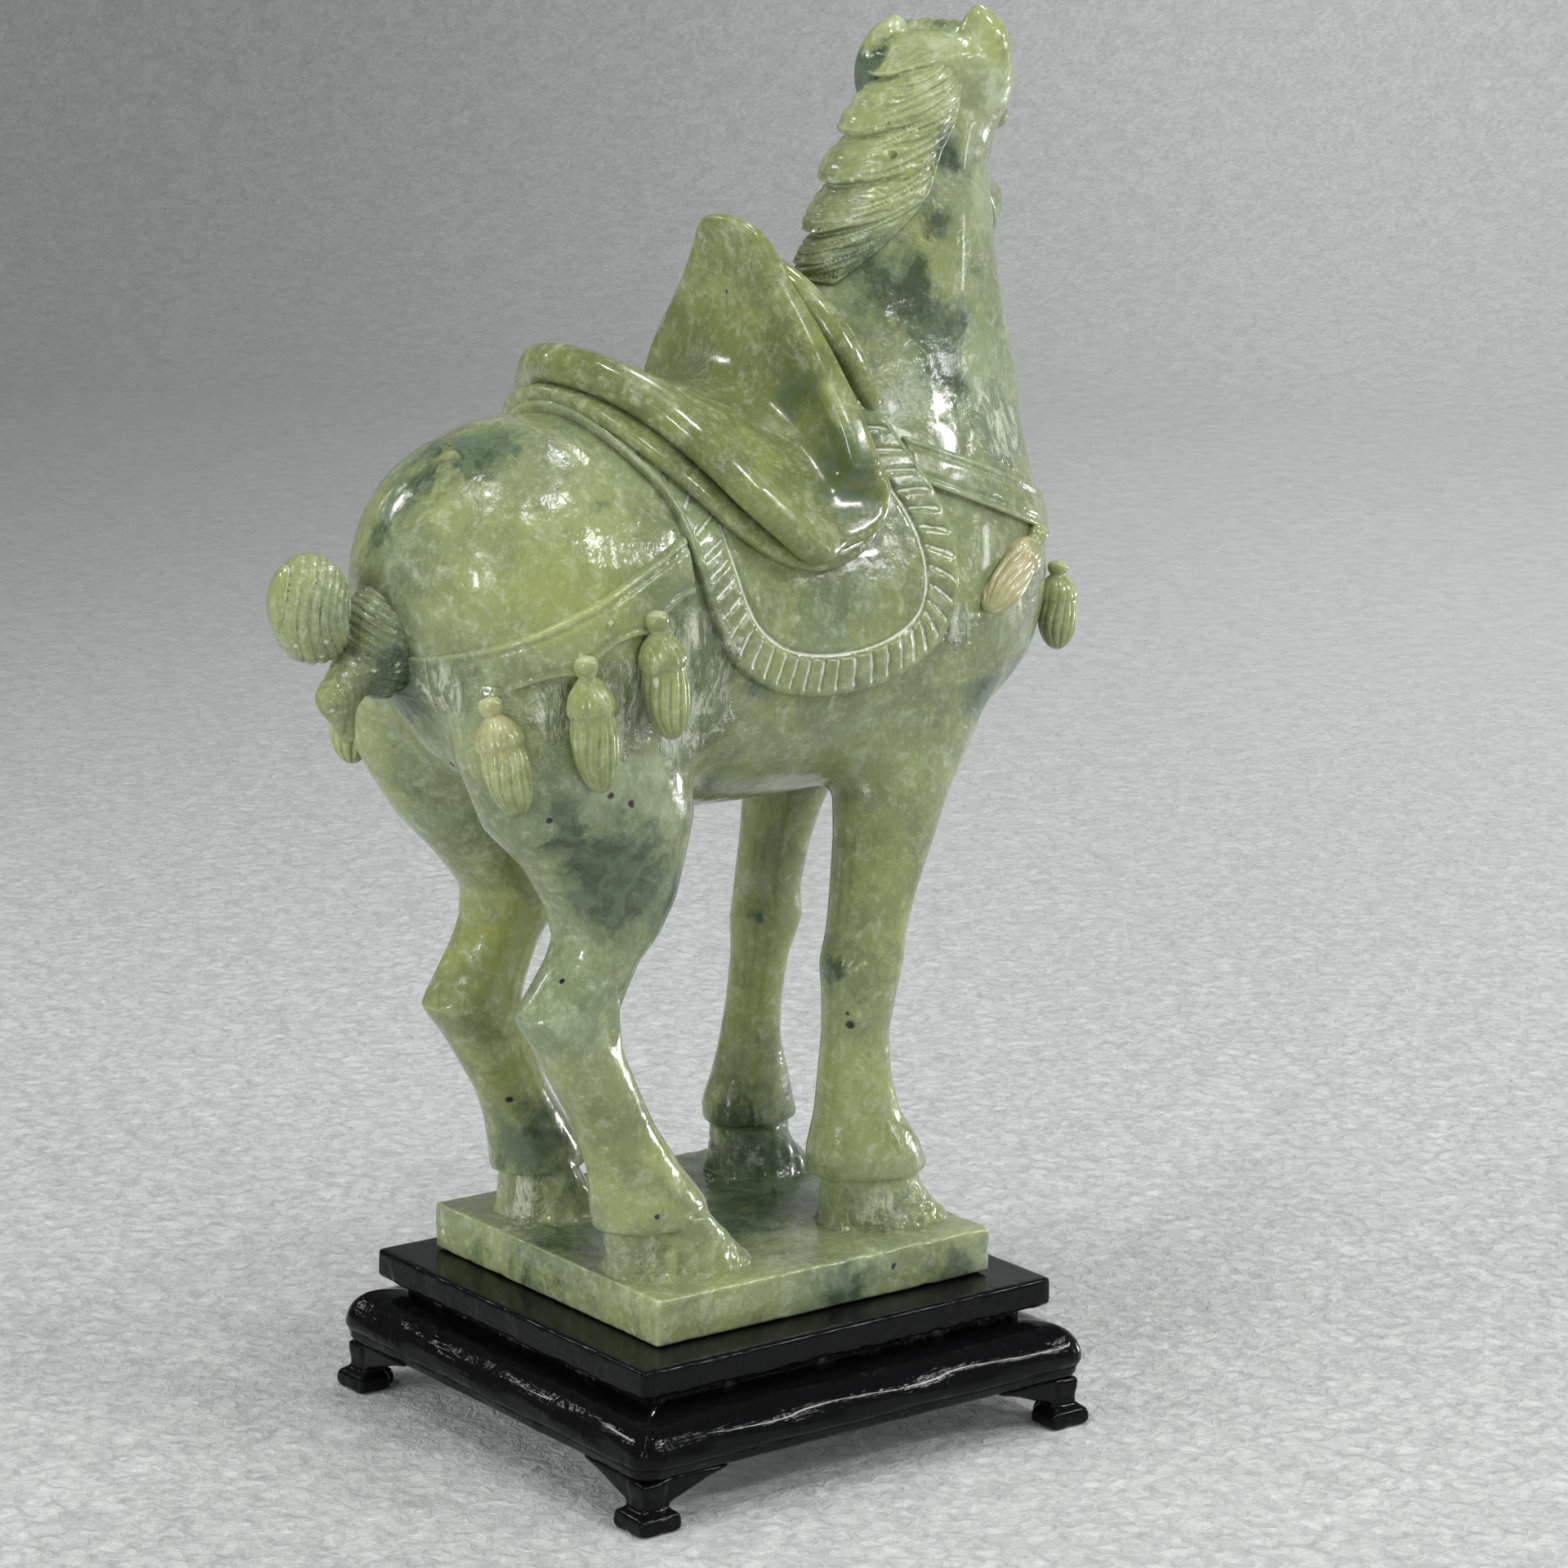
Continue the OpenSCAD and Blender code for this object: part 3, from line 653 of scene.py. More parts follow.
# side outlines in x and z
BLANKET_EDGE = rounded([(-60, 275), (-50, 254), (-42, 243), (-40, 226), (-34, 207), (-19, 195), (1, 191.5), (22, 194),
                        (37, 203), (42, 218), (39.5, 235), (31, 252), (24, 267), (18, 282), (13, 293), (-10, 296)])
PAD_EDGE = rounded([(-62, 280), (-54, 262), (-40, 246), (-27, 233), (-9, 222.5), (11, 225), (22, 237), (23, 252),
                    (17.5, 268), (13, 284), (8, 294), (-20, 296)])
PLATE_EDGE = rounded([(-50, 292), (-44, 266), (-31, 253), (-19, 241), (-9, 229), (7, 229), (17.5, 234), (20, 244),
                      (16, 258), (10, 274), (2, 294), (-20, 298)])
# pommel from the side up: height, half-width, lean along the horse
POMMEL = [(305.6, 0, 0.5), (305.2, 5.5, 0.7), (303.8, 9.5, 1.5), (301, 12.5, 3), (296, 15.5, 4.8), (290, 19.5, 6),
          (284, 24.5, 7.5), (272, 34, 9.5), (257, 43, 12), (243, 47, 14)]
CANTLE = [(-8, 46, 229, 2.6), (-15, 46, 235, 3.4), (-25, 43.5, 244, 4), (-33, 33.8, 256, 4.4), (-40, 22.5, 265, 4.6),
          (-47.5, 12, 270, 4.7), (-50.5, 0, 271.5, 4.8)]


def mirrored(points):
    """Points on the left side, over the middle and down the right side."""
    return list(points) + [(p[0], -p[1], *p[2:]) for p in points[-2::-1]]


def flowing(points, count):
    """The same run of points with more of them, on a smooth curve."""
    keys = list(range(len(points)))
    shares = np.linspace(0, keys[-1], count)
    return list(zip(*(through(keys, [p[i] for p in points], shares) for i in range(4))))


def saddle():
    """A plate over the back, a standing pommel across it and a rolled cantle behind."""
    block = Block((-58, -54, 220), (26, 54, 309), 0.7)
    arch = rounded([(w, h) for h, w, _ in reversed(POMMEL)] + [(-w, h) for h, w, _ in POMMEL[1:]], 2)
    roll = mirrored(flowing(CANTLE, 13))

    def shape(x, y, z):
        horse = padded_horse(x, y, z)
        edge, _ = outline(x[:, :, 0], z[0, :, :], PLATE_EDGE)
        plate = smooth_max(horse - PLATE_T, edge[:, None, :], 3.5)
        face, _ = outline(y[0, :, :], z[0, :, :], arch)
        lean = follow(POMMEL, 2, z)
        half = through([225, 262, 285, 306], [4.6, 4.6, 3.6, 2.6], z)
        wall = smooth_max(np.abs(x - lean + half) - half, face[None, :, :], 3)
        rim = beads(x, y, z, roll)
        d = smooth_min(smooth_min(plate, wall, 9), rim, 9)
        return smooth_max(d, PAD_T - 0.8 - horse, 0.8)

    block.add(shape)
    return in_place_of(block.piece("carved_saddle", 10), "saddle_jade", "saddle")


def saddle_pad():
    """A puffed sheet under the saddle, with a roll up its front."""
    block = Block((-66, -52, 219), (28, 52, 300), 0.7)
    roll = mirrored(flowing([(18, 34, 262, 2.6), (14.5, 30, 272, 3.7), (11, 24, 281, 4.3), (8, 17, 288, 3.8),
                             (6, 9, 293, 3), (5, 0, 295, 3)], 14))

    def shape(x, y, z):
        horse = padded_horse(x, y, z)
        edge, _ = outline(x[:, :, 0], z[0, :, :], PAD_EDGE)
        edge = edge[:, None, :]
        puff = 0.6 * bump(edge + 4, 4)
        sheet = smooth_max(horse - PAD_T - puff, edge, 2.5)
        sheet = smooth_max(sheet, BLANKET_T - 1.2 - horse, 0.5)
        return smooth_min(sheet, beads(x, y, z, roll), 4)

    block.add(shape)
    return in_place_of(block.piece("carved_saddle_pad", 8), "saddle_jade", "saddle_pad")


def saddle_blanket():
    """A thin sheet on the horse, with a border of cut strokes."""
    block = Block((-64, -50, 187), (46, 50, 298), 0.5)
    border, stroke = 10.5, 5.6  # width of the border, and the way from one cut stroke to the next

    def shape(x, y, z):
        horse = padded_horse(x, y, z)
        edge, along = outline(x[:, :, 0], z[0, :, :], BLANKET_EDGE)
        edge, along = edge[:, None, :], along[:, None, :]
        thick = BLANKET_T - 1.3 * bump(edge + border, 0.65) - 0.5 * fade(-edge, border, border + 1)
        inner = fade(-edge, 1.3, 2.3) * fade(edge, -border + 0.4, -border + 1.4)
        slant = 0.5 * fade(x, 8, 34) - 0.35 * fade(-x, 8, 34)
        phase = along / stroke + slant * (edge + border) / stroke + 0.16 * np.sin(along / 7.3)
        thick = thick - 1.1 * bump(phase % 1 - 0.5, 0.1) * inner
        sheet = smooth_max(horse - thick, edge, 1.6)
        return smooth_max(sheet, -1.5 - horse, 0.5)

    block.add(shape)
    return in_place_of(block.piece("carved_saddle_blanket", 1), "jade", "saddle_blanket")


def strap(name, low, high, ends, half, thick, keep, drop=None):
    """Band laid on the horse along a sloping line of the side view, with an incised line near its edges."""
    block = Block(low, high, 0.5)
    (x0, z0), (x1, z1) = ends
    length = math.hypot(x1 - x0, z1 - z0)
    ax, az = (x1 - x0) / length, (z1 - z0) / length

    def shape(x, y, z):
        horse = padded_horse(x, y, z)
        off = (z - z0) * ax - (x - x0) * az
        along = (x - x0) * ax + (z - z0) * az
        edge = np.maximum(off - half, -off - half - (drop(along) if drop else 0))
        t = thick - 0.6 * bump(edge + 2, 0.5)
        d = smooth_max(horse - t, edge, 1)
        d = smooth_max(d, keep(x), 1)
        return np.maximum(d, -1.5 - horse)

    block.add(shape)
    return in_place_of(block.piece("carved_" + name, 1), "jade", name)


def rump_strap():
    def scallop(along):
        return 3.4 * (1 - np.abs(np.sin(math.pi * (along - 2.3) / 20.2)) ** 0.7)

    return strap("rump_strap", (-108, -48, 186), (-38, 48, 243), ((-96, 202.6), (-38, 230.2)), 5.6, 2.0,
                 lambda x: x + 41, scallop)


def breast_strap():
    return strap("breast_strap", (30, -46, 214), (101, 46, 258), ((34, 246.5), (89, 226.5)), 5, 2.0, lambda x: 33 - x)


RUMP_TASSELS = [((-90, -30, 197), (-86, -36, 172)), ((-72, -42.5, 206.5), (-68, -43.5, 177)),
                ((-54, -45.5, 216), (-49, -45.5, 188))]
BREAST_TASSELS = [((74, -32, 224), (51, -41, 208.5)), ((97.5, -14, 211), (98, -14, 190))]
# share of the length, radius in mm, depth of the flutes
TASSEL = [(-0.12, 0, 0), (-0.1, 1.8, 0), (-0.04, 2.6, 0), (0.02, 2.4, 0), (0.06, 1.8, 0), (0.1, 2.7, 0.05),
          (0.18, 4.2, 0.2), (0.28, 5.1, 0.3), (0.34, 5.2, 0.25), (0.37, 4.7, 0.1), (0.42, 4.9, 0.5),
          (0.55, 5.3, 0.75), (0.7, 5.1, 0.75), (0.84, 4.1, 0.6), (0.95, 2.4, 0.3), (1.02, 0, 0)]


def tassel(start, end, scale):
    """Points and quads of a fluted tassel hanging from start to end."""
    rings, sides, flutes = 46, 104, 13
    start, end = np.array(start, float), np.array(end, float)
    length = np.linalg.norm(end - start)
    way = (end - start) / length
    a = np.cross(way, (0, 1, 0.2))
    a /= np.linalg.norm(a)
    b = np.cross(way, a)
    shares = np.linspace(TASSEL[0][0], TASSEL[-1][0], rings)
    radius, flute = (follow(TASSEL, i, shares) * scale for i in (1, 2))
    turn = np.linspace(0, 2 * math.pi, sides, endpoint=False)
    points = [start + way * length * shares[0]]
    for share, r, f in zip(shares[1:-1], radius[1:-1], flute[1:-1]):
        ring = r * (1 + 0.04 * np.sin(2 * turn + 5 * share))
        ring = ring - f * groove(turn * flutes / (2 * math.pi) + 0.35 * np.sin(6 * share))
        middle = start + way * length * share
        points += list(middle + ring[:, None] * (np.cos(turn)[:, None] * a + np.sin(turn)[:, None] * b))
    points.append(end)
    return closed_tube(points, rings - 2, sides)


def closed_tube(points, rings, sides):
    """Faces for a first point, rings of points and a last point."""
    faces = []
    for k in range(sides):
        n = (k + 1) % sides
        faces.append((0, 1 + n, 1 + k))
        for r in range(rings - 1):
            base = 1 + r * sides
            faces.append((base + k, base + n, base + sides + n, base + sides + k))
        last = 1 + (rings - 1) * sides
        faces.append((last + k, last + n, len(points) - 1))
    return points, faces


def tassels(name, places, scale):
    """The same tassels on both sides of the horse, as one piece."""
    points, faces = [], []
    for side in (-1, 1):
        for start, end in places:
            p, f = tassel((start[0], -side * start[1], start[2]), (end[0], -side * end[1], end[2]), scale)
            faces += [tuple(i + len(points) for i in face) for face in f]
            points += list(p)
    return in_place_of(solid("carved_" + name, points, faces), "tassel_jade", name)


# ---- plinth and stand -------------------------------------------------------------------------

def worn(x, y, z, size, amount, seed):
    """Gentle unevenness with features of about the given size."""
    waves, waves_per_size, full_turn = 5, 2.2, 6.28
    rng = np.random.RandomState(seed)
    total = 0
    for _ in range(waves):
        k = rng.normal(size=3) * waves_per_size / size
        total = total + np.sin(k[0] * x + k[1] * y + k[2] * z + rng.uniform(0, full_turn))
    return amount * total / waves


def worn_slab(prefix, node, slot, step, corner, waviness, chips, seed):
    """A flat board or block with eased, slightly broken edges, the size of its CAD node."""
    low, high = box_mm(node)
    middle, half = (low + high) / 2, (high - low) / 2
    block = Block(low - 2, high + 2, step)

    def shape(x, y, z):
        q = [np.abs(v - m) - h + corner for v, m, h in zip((x, y, z), middle, half)]
        out = np.sqrt(sum(np.maximum(v, 0) ** 2 for v in q))
        d = out + np.minimum(np.maximum(np.maximum(q[0], q[1]), q[2]), 0) - corner
        edge = sum(bump(v, 1.5) * (v > -3) for v in q)
        return (d + worn(x, y, z, 14, waviness, seed) + waviness
                + np.clip(worn(x, y, z, 4.5, chips, seed + 1), 0, None) * (edge > 1) * edge / 2)

    block.add(shape)
    return in_place_of(block.piece(prefix + node, 1), slot, node)


RAIL_CORNER = 7.0


def rail(name, node, turn):
    """Mitred length of cushion moulding: its profile swept along one side and half way round two soft corners."""
    low, high = box_mm(node)
    reach = (high if turn in (0, 90) else -low)[1 if turn in (90, 270) else 0]
    span = (high - low)[0 if turn in (90, 270) else 1] / 2
    bottom, height = low[2], (high - low)[2]
    # the profile, as how far in and how far up each point is: a small lip, then a cushion that is widest low down
    depth, widest, tuck, crown = 17, 4.8, 2.2, 12
    lip = [(1.7, 0.5), (1.25, 1.2), (1.2, 2.2), (0.9, 2.7)]
    under = [(tuck * (1 - math.cos(a)), widest + tuck * math.sin(a)) for a in np.radians([-62, -45, -28, -12])]
    over = [(crown * (1 - math.cos(a)), widest + (height - widest) * math.sin(a)) for a in np.radians(range(2, 91, 8))]
    profile = [(depth, 0), (2.4, 0), *lip, *under, *over, (depth, height)]
    mitre = 45
    corner = [(1, math.radians(a)) for a in range(5, mitre + 1, 5)]
    stations = [(-s, a) for s, a in reversed(corner)] + [(s, 0) for s in np.linspace(-1, 1, 80)] + corner
    points, faces = [], []
    for s, angle in stations:
        for inset, z in profile:
            r = max(RAIL_CORNER - inset, 0.3)
            wave = s * 9 + (angle + z * 0.9) + turn
            skin = 0 if inset > 12.5 or z < 0.4 or angle > 0.5 else 0.2 * math.sin(wave) + 0.1 * math.sin(3.4 * wave)
            skin = (skin - 0.25) * (1 - angle / math.radians(mitre))
            x = reach - inset - r + (r + skin) * math.cos(angle)
            y = s * (span - inset - r) + math.copysign(r * math.sin(angle), s)
            points.append((x, y, bottom + z))
    n = len(profile)
    for i in range(len(stations) - 1):
        for k in range(n):
            m = (k + 1) % n
            faces.append((i * n + k, (i + 1) * n + k, (i + 1) * n + m, i * n + m))
    faces.append(tuple(range(n)))
    faces.append(tuple(range((len(stations) - 1) * n, len(stations) * n))[::-1])
    spin = Matrix.Rotation(math.radians(turn), 3, "Z")
    return in_place_of(solid(name, [tuple(spin @ Vector(p)) for p in points], faces), "lacquer", node)


def foot(name, node, sx, sy):
    """Bracket foot: spreads under both mouldings, narrows, and ends in a small scrolled pad."""
    low, high = box_mm(node)
    corner = np.array([(high if s > 0 else low)[i] for i, s in enumerate((sx, sy))])
    top = high[2]
    side = rounded([(2.5, top), (29, top), (28.5, top - 0.9), (22, top - 2.4), (15.5, top - 5), (11, 6.6), (10.4, 5.2),
                    (12.2, 4.3), (12.6, 2), (12, 0.1), (7.2, 0.1), (6.4, 1), (5.6, 0.1), (0.9, 0.1), (0.1, 2), (0.5, 4),
                    (2.4, 5), (3, 7.5), (2, 10)], 2)
    block = Block((low[0] - 1, low[1] - 1, low[2] - 1), (high[0] + 1, high[1] + 1, high[2] + 1), 0.45)

    def shape(x, y, z):
        a, b = (corner[0] - x) * sx, (corner[1] - y) * sy
        pad = through([0, 4, 6, top], [0.2, 0.6, 3, 2.6], z)
        back = through([0, 4, 6, top], [9.5, 9, 8.5, 9.5], z)
        d = None
        for along, across in ((a, b), (b, a)):
            flat, _ = outline(along.reshape(-1, 1), z.reshape(1, -1), side)
            flat = flat[:, None, :] if along is a else flat[None, :, :]
            arm = smooth_max(flat, np.maximum(pad - across, across - back), 0.8)
            d = arm if d is None else smooth_min(d, arm, 0.6)
        return np.maximum(d, np.maximum(z - top, low[2] - z))

    block.add(shape)
    return in_place_of(block.piece(name, 1), "lacquer", node)


# ---- materials --------------------------------------------------------------------------------

class Nodes:
    """Short way to write a material's node tree."""

    def __init__(self, name):
        self.material = bpy.data.materials.new(name)
        self.material.use_nodes = True
        self.tree = self.material.node_tree
        self.shader = self.tree.nodes["Principled BSDF"]
        self.place = self.new("TexCoord").outputs["Object"]

    def new(self, kind, **inputs):
        """A new node, with a value or a socket put into each of the named inputs."""
        node = self.tree.nodes.new("ShaderNode" + kind)
        for name, value in inputs.items():
            self.put(value, node.inputs[name])
        return node

    def put(self, value, socket):
        if isinstance(value, bpy.types.NodeSocket):
            self.tree.links.new(value, socket)
        elif value is not None:
            socket.default_value = value

    def put_all(self, values, sockets):
        for value, socket in zip(values, sockets):
            self.put(value, socket)

    def surface(self, values):
        """Puts values or sockets into the shader's own inputs, by name."""
        for name, value in values.items():
            self.put(value, self.shader.inputs[name])

    def math(self, operation, a, b=None, c=None, clamp=False):
        node = self.new("Math")
        node.operation, node.use_clamp = operation, clamp
        self.put_all((a, b, c), node.inputs)
        return node.outputs[0]

    def times(self, a, b, clamp=False):
        return self.math("MULTIPLY", a, b, clamp=clamp)

    def vector(self, operation, *values, out="Vector"):
        node = self.new("VectorMath")
        node.operation = operation
        self.put_all(values, node.inputs)
        return node.outputs[out]

    def stretch(self, vector, scale, spin=(0, 0, 0)):
        return self.new("Mapping", Vector=vector, Scale=scale, Rotation=spin).outputs[0]

    def noise(self, size, detail=3.0, roughness=0.5, twist=0.0, vector=None, colour=False):
        """Noise with features of about the given size in metres."""
        node = self.new("TexNoise", Vector=vector or self.place, Scale=1 / size, Detail=detail,
                        Roughness=roughness, Distortion=twist)
        return node.outputs["Color" if colour else "Fac"]

    def cells(self, size, vector):
        """Distance to the nearest of scattered points, about the given size in metres apart."""
        return self.new("TexVoronoi", Vector=vector, Scale=1 / size).outputs["Distance"]

    def span(self, value, low, high, to_low=0.0, to_high=1.0):
        """Eases from one value to another as the input goes from low to high."""
        node = self.new("MapRange")
        node.interpolation_type = "SMOOTHSTEP"
        self.put_all((value, low, high, to_low, to_high), node.inputs)
        return node.outputs[0]

    def mix(self, share, a, b, kind="MIX"):
        """Mixes two colours; the Mix node has its colour sockets sixth and seventh."""
        node = self.new("Mix")
        node.data_type, node.blend_type = "RGBA", kind
        colours = [(*value, 1) if isinstance(value, tuple) else value for value in (a, b)]
        self.put_all((share, *colours), (node.inputs[0], node.inputs[6], node.inputs[7]))
        return node.outputs[2]

    def wander(self, size, amount):
        """Place, pushed about by noise, so that patches have ragged edges."""
        shift = self.vector("MULTIPLY_ADD", self.noise(size, 4, 0.6, colour=True), (2 * amount,) * 3, self.place)
        return self.vector("SUBTRACT", shift, (amount,) * 3)

    def patches(self, vector, places):
        """Largest of a set of cones, each (x, y, z) in mm, radius and height."""
        total = self.times(0.0, 0.0)
        for x, y, z, radius, height in places:
            away = self.vector("DISTANCE", vector, ((x + STAND_X) * MM, y * MM, z * MM), out="Value")
            cone = self.math("MULTIPLY_ADD", away, -height / (radius * MM), height)
            total = self.math("MAXIMUM", total, cone)
        return total

    def bumps(self, *layers):
        """Stacked bump nodes, each (height, depth in metres)."""
        normal = None
        for height, depth in layers:
            normal = self.new("Bump", Strength=1, Distance=depth, Height=height, Normal=normal).outputs[0]
        self.put(normal, self.shader.inputs["Normal"])


# places in the stone, each (x, y, z) in mm, radius and strength
# the dark places at z 42 to 44 are painted shade on the plinth top under the horse; the two at z 337 and 343 are dark
# stone and painted shade on the left cheek
DARK_AND_SHADE = [(-79, -10, 254, 16, 0.9), (-86, 3, 254, 14, 0.8), (-94, -2, 246, 17, 0.8), (-101, 2, 236, 14, 0.6),
        (-58, -38, 155, 23, 1.0), (-41, -34, 144, 16, 0.9), (-73, -39, 166, 14, 0.8), (42, -16, 286, 18, 1.0),
        (49, -19, 277, 16, 1.0), (52, -24, 264, 13, 0.8), (33, -11, 293, 12, 0.7), (64, -16, 290, 8, 0.5),
        (58, -32, 185, 15, 1.0), (73, -25, 188, 12, 0.8), (-98, -2, 197, 18, 1.0), (-104, -8, 206, 13, 0.8),
        (-42, 23, 72, 18, 0.9), (-33, 20, 62, 14, 0.7), (30, 27, 67, 17, 0.8), (31, 24, 118, 5, 1.1),
        (16, -25, 118, 10, 0.8), (30, 10, 44, 44, 1.2), (5, 38, 44, 36, 1.1), (-5, 0, 44, 34, 1.1),
        (-40, 5, 44, 26, 0.9), (50, -20, 44, 18, 0.8), (-52, 30, 42, 10, 0.6), (8, -46, 38, 13, 1.1),
        (66, 4, 353, 9, 0.9), (39, -46, 40, 12, 0.9), (-20, -46, 37, 9, 0.8), (-75, -10, 38, 9, 0.8),
        (-50, -4, 43, 12, 0.7), (53, -14, 303, 12, 0.7), (43, -17, 290, 12, 0.9), (57, -13, 320, 10, 0.9),
        (51, 13, 337, 11, 1.6), (52, 9, 343, 6, 1.1),
        (-61, -33, 242, 6, 0.5), (-42, 40, 262, 16, 0.8), (-20, -44, 196, 10, 0.6)]
CHIPPED = [(-60, -44, 196, 15, 1.0), (-43, -42, 203, 17, 1.3), (-37, -42, 188, 15, 1.1), (-78, -40, 196, 10, 0.8),
           (-98, -18, 200, 12, 0.9), (66, -23, 252, 14, 1.1), (70, -27, 214, 11, 0.8), (44, -40, 205, 9, 0.7),
           (-37, -32, 262, 9, 0.9), (-50, -12, 270, 9, 0.9), (-39, -24, 56, 14, 0.8), (33, -26, 56, 15, 0.9),
           (48, -24, 240, 7, 0.6), (-45, 24, 56, 12, 0.7), (32, 28, 56, 12, 0.7)]
PALE = [(72, -12, 338, 18, 1.0), (66, -23, 260, 16, 0.6), (71, -12, 306, 11, 0.6), (-48, -40, 178, 15, 0.7),
        (-3, -26, 168, 22, 0.4), (33, -26, 60, 15, 0.5), (-69, -34, 119, 7, 0.5), (55, -31, 170, 14, 0.6),
        (-64, -44, 180, 12, 0.5), (-25, -25, 60, 14, 0.5), (50, -14, 334, 9, 0.6), (-118, 0, 222, 12, 0.3),
        (57.5, 9, 350, 5, 1.0), (-75, -46, 42, 22, 0.8), (56, -46, 40, 18, 0.8), (62, -30, 44, 12, 0.8),
        (76, -20, 322, 12, 0.6), (20, -44, 168, 20, 0.5)]
YELLOW = [(-57, 20, 128, 30, 0.9), (26, -28, 148, 28, 0.9), (36, 26, 145, 26, 0.8), (-44, -28, 82, 28, 0.8),
          (-75, -36, 224, 32, 0.6), (28, -26, 90, 26, 0.8), (78, -8, 345, 16, 1.1), (-10, -46, 190, 20, 0.5),
          (-46, 24, 92, 24, 0.7), (34, 26, 100, 24, 0.6), (30, -30, 128, 22, 0.7), (22, -44, 170, 18, 0.5)]
SPECKS = [(*speck, 1) for speck in (
    (-51.6, -11, 269.1, 0.8), (0, 0.8, 286.2, 0.9), (27.3, -1.1, 300.2, 1.1), (43.8, -6.4, 326.3, 1.0),
    (-78.3, -37.2, 170.4, 1.3), (-63.6, -41.5, 175.5, 1.4), (-57.8, -41.7, 172.7, 1.6), (-84.2, -5, 178.7, 1.2),
    (-69.2, -30, 128.7, 1.1), (-47.9, 22.2, 83.7, 1.5), (-44.4, -35.7, 67.4, 1.2), (21.8, -46.2, 45.5, 1.2),
    (19.4, -29.8, 104.7, 1.7), (18.6, -29.5, 107.5, 1.0))]
BROWN = [(-92, -32, 191, 11, 0.6), (61, -37, 217, 20, 1.2), (-92, 32, 191, 11, 0.6), (61, 37, 217, 20, 1.2)]
SADDLE_DARK = [(5, -43, 247, 15, 1.0), (1, -29, 265, 12, 0.9), (9, -45, 239, 10, 0.8), (16, 43, 250, 14, 0.7),
               (-14, -30, 262, 12, 0.5), (8, -38, 256, 12, 0.8)]


def cloudy(n, greens, places):
    """Colour of the polished stone: swells of two greens, milky veils, fine grain and dark ragged patches, some of them
    painted shade.
    """
    pale, deep, dark, yellow = greens
    ragged = n.wander(0.011, 0.009)
    swell = n.noise(0.045, 3, 0.55, 0.6)
    veil = n.noise(0.015, 5, 0.62, 1.2, vector=ragged)
    streak = n.noise(0.01, 6, 0.68, 1.6, vector=n.stretch(ragged, (1, 1, 0.5), (0.5, 0.3, 0)))
    fleck = n.noise(0.0045, 5, 0.75, 0.5)
    sugar = n.noise(0.0018, 3, 0.7)

    colour = n.mix(n.span(swell, 0.36, 0.66), pale, deep)
    tint = n.math("MAXIMUM", n.patches(ragged, places["yellow"]), n.times(n.span(veil, 0.55, 0.75), 0.5))
    colour = n.mix(tint, colour, yellow)
    cloud = n.span(n.noise(0.024, 5, 0.6, 0.9, vector=ragged), 0.42, 0.64, 0, 0.5)
    colour = n.mix(cloud, colour, tuple(0.52 * c for c in deep))

    milk = n.math("ADD", n.times(n.patches(ragged, places["pale"]), 0.8), n.span(streak, 0.5, 0.72, 0, 0.45))
    milk = n.times(milk, n.span(veil, 0.34, 0.56, 0.3, 1.0), clamp=True)
    milk = n.times(milk, n.math("MULTIPLY_ADD", tint, -0.5, 1.0), clamp=True)
    colour = n.mix(milk, colour, (0.45, 0.515, 0.35))
    grain = n.math("ADD", n.span(fleck, 0.48, 0.74, 0, 0.34), n.span(sugar, 0.5, 0.8, 0, 0.2))
    colour = n.mix(grain, colour, (0.6, 0.66, 0.5))

    # dark patches from the given places, some of which are painted shade
    patch = n.math("MULTIPLY_ADD", streak, 0.9, n.times(n.patches(ragged, places["dark"]), 0.66))
    shade = n.times(n.span(patch, 0.56, 0.9), 0.92)
    return n.mix(shade, colour, n.mix(n.span(veil, 0.4, 0.62), dark, (0.09, 0.135, 0.08)))


def tooled_with_painted_light(n, colour, tool, chipped, scribed):
    """The colour with what tools leave on it, and painted light: pale unpolished cuts, a pale glow painted on raised
    edges as if light showed through thin stone, and the floors of grooves: white where scribed, elsewhere a mottle of
    chalky pale and painted crease shade.
    """
    cut = n.mix(n.span(tool, 0.45, 0.6), (0.19, 0.24, 0.14), (0.7, 0.75, 0.6))
    colour = n.mix(n.times(chipped, 0.72), colour, cut)
    edge = n.new("NewGeometry").outputs["Pointiness"]
    # painted light: convex edges made paler, as a glow of light through thin stone
    colour = n.mix(n.span(edge, 0.515, 0.59, 0, 0.66), colour, (0.54, 0.59, 0.4))
    if scribed:
        return n.mix(n.span(edge, 0.492, 0.455, 0, 0.95), colour, (0.72, 0.77, 0.64))
    # in concave creases, a mottle of chalky pale and painted crease shade
    chalk_and_crease_shade = n.mix(n.span(n.noise(0.014, 4, 0.6, 0.8), 0.42, 0.56), (0.13, 0.17, 0.09), (0.56, 0.62, 0.48))
    return n.mix(n.span(edge, 0.488, 0.42, 0, 0.55), colour, chalk_and_crease_shade)


def specked(n, colour, places):
    """The colour with black specks, some placed and some scattered."""
    speck = n.patches(n.wander(0.002, 0.0007), places)
    stray = n.math("LESS_THAN", n.cells(0.024, n.wander(0.003, 0.0006)), 0.045)
    stray = n.times(stray, n.span(n.noise(0.03, 2), 0.5, 0.58))
    return n.mix(n.math("MAXIMUM", n.span(speck, 0.2, 0.5), stray), colour, (0.02, 0.016, 0.018))


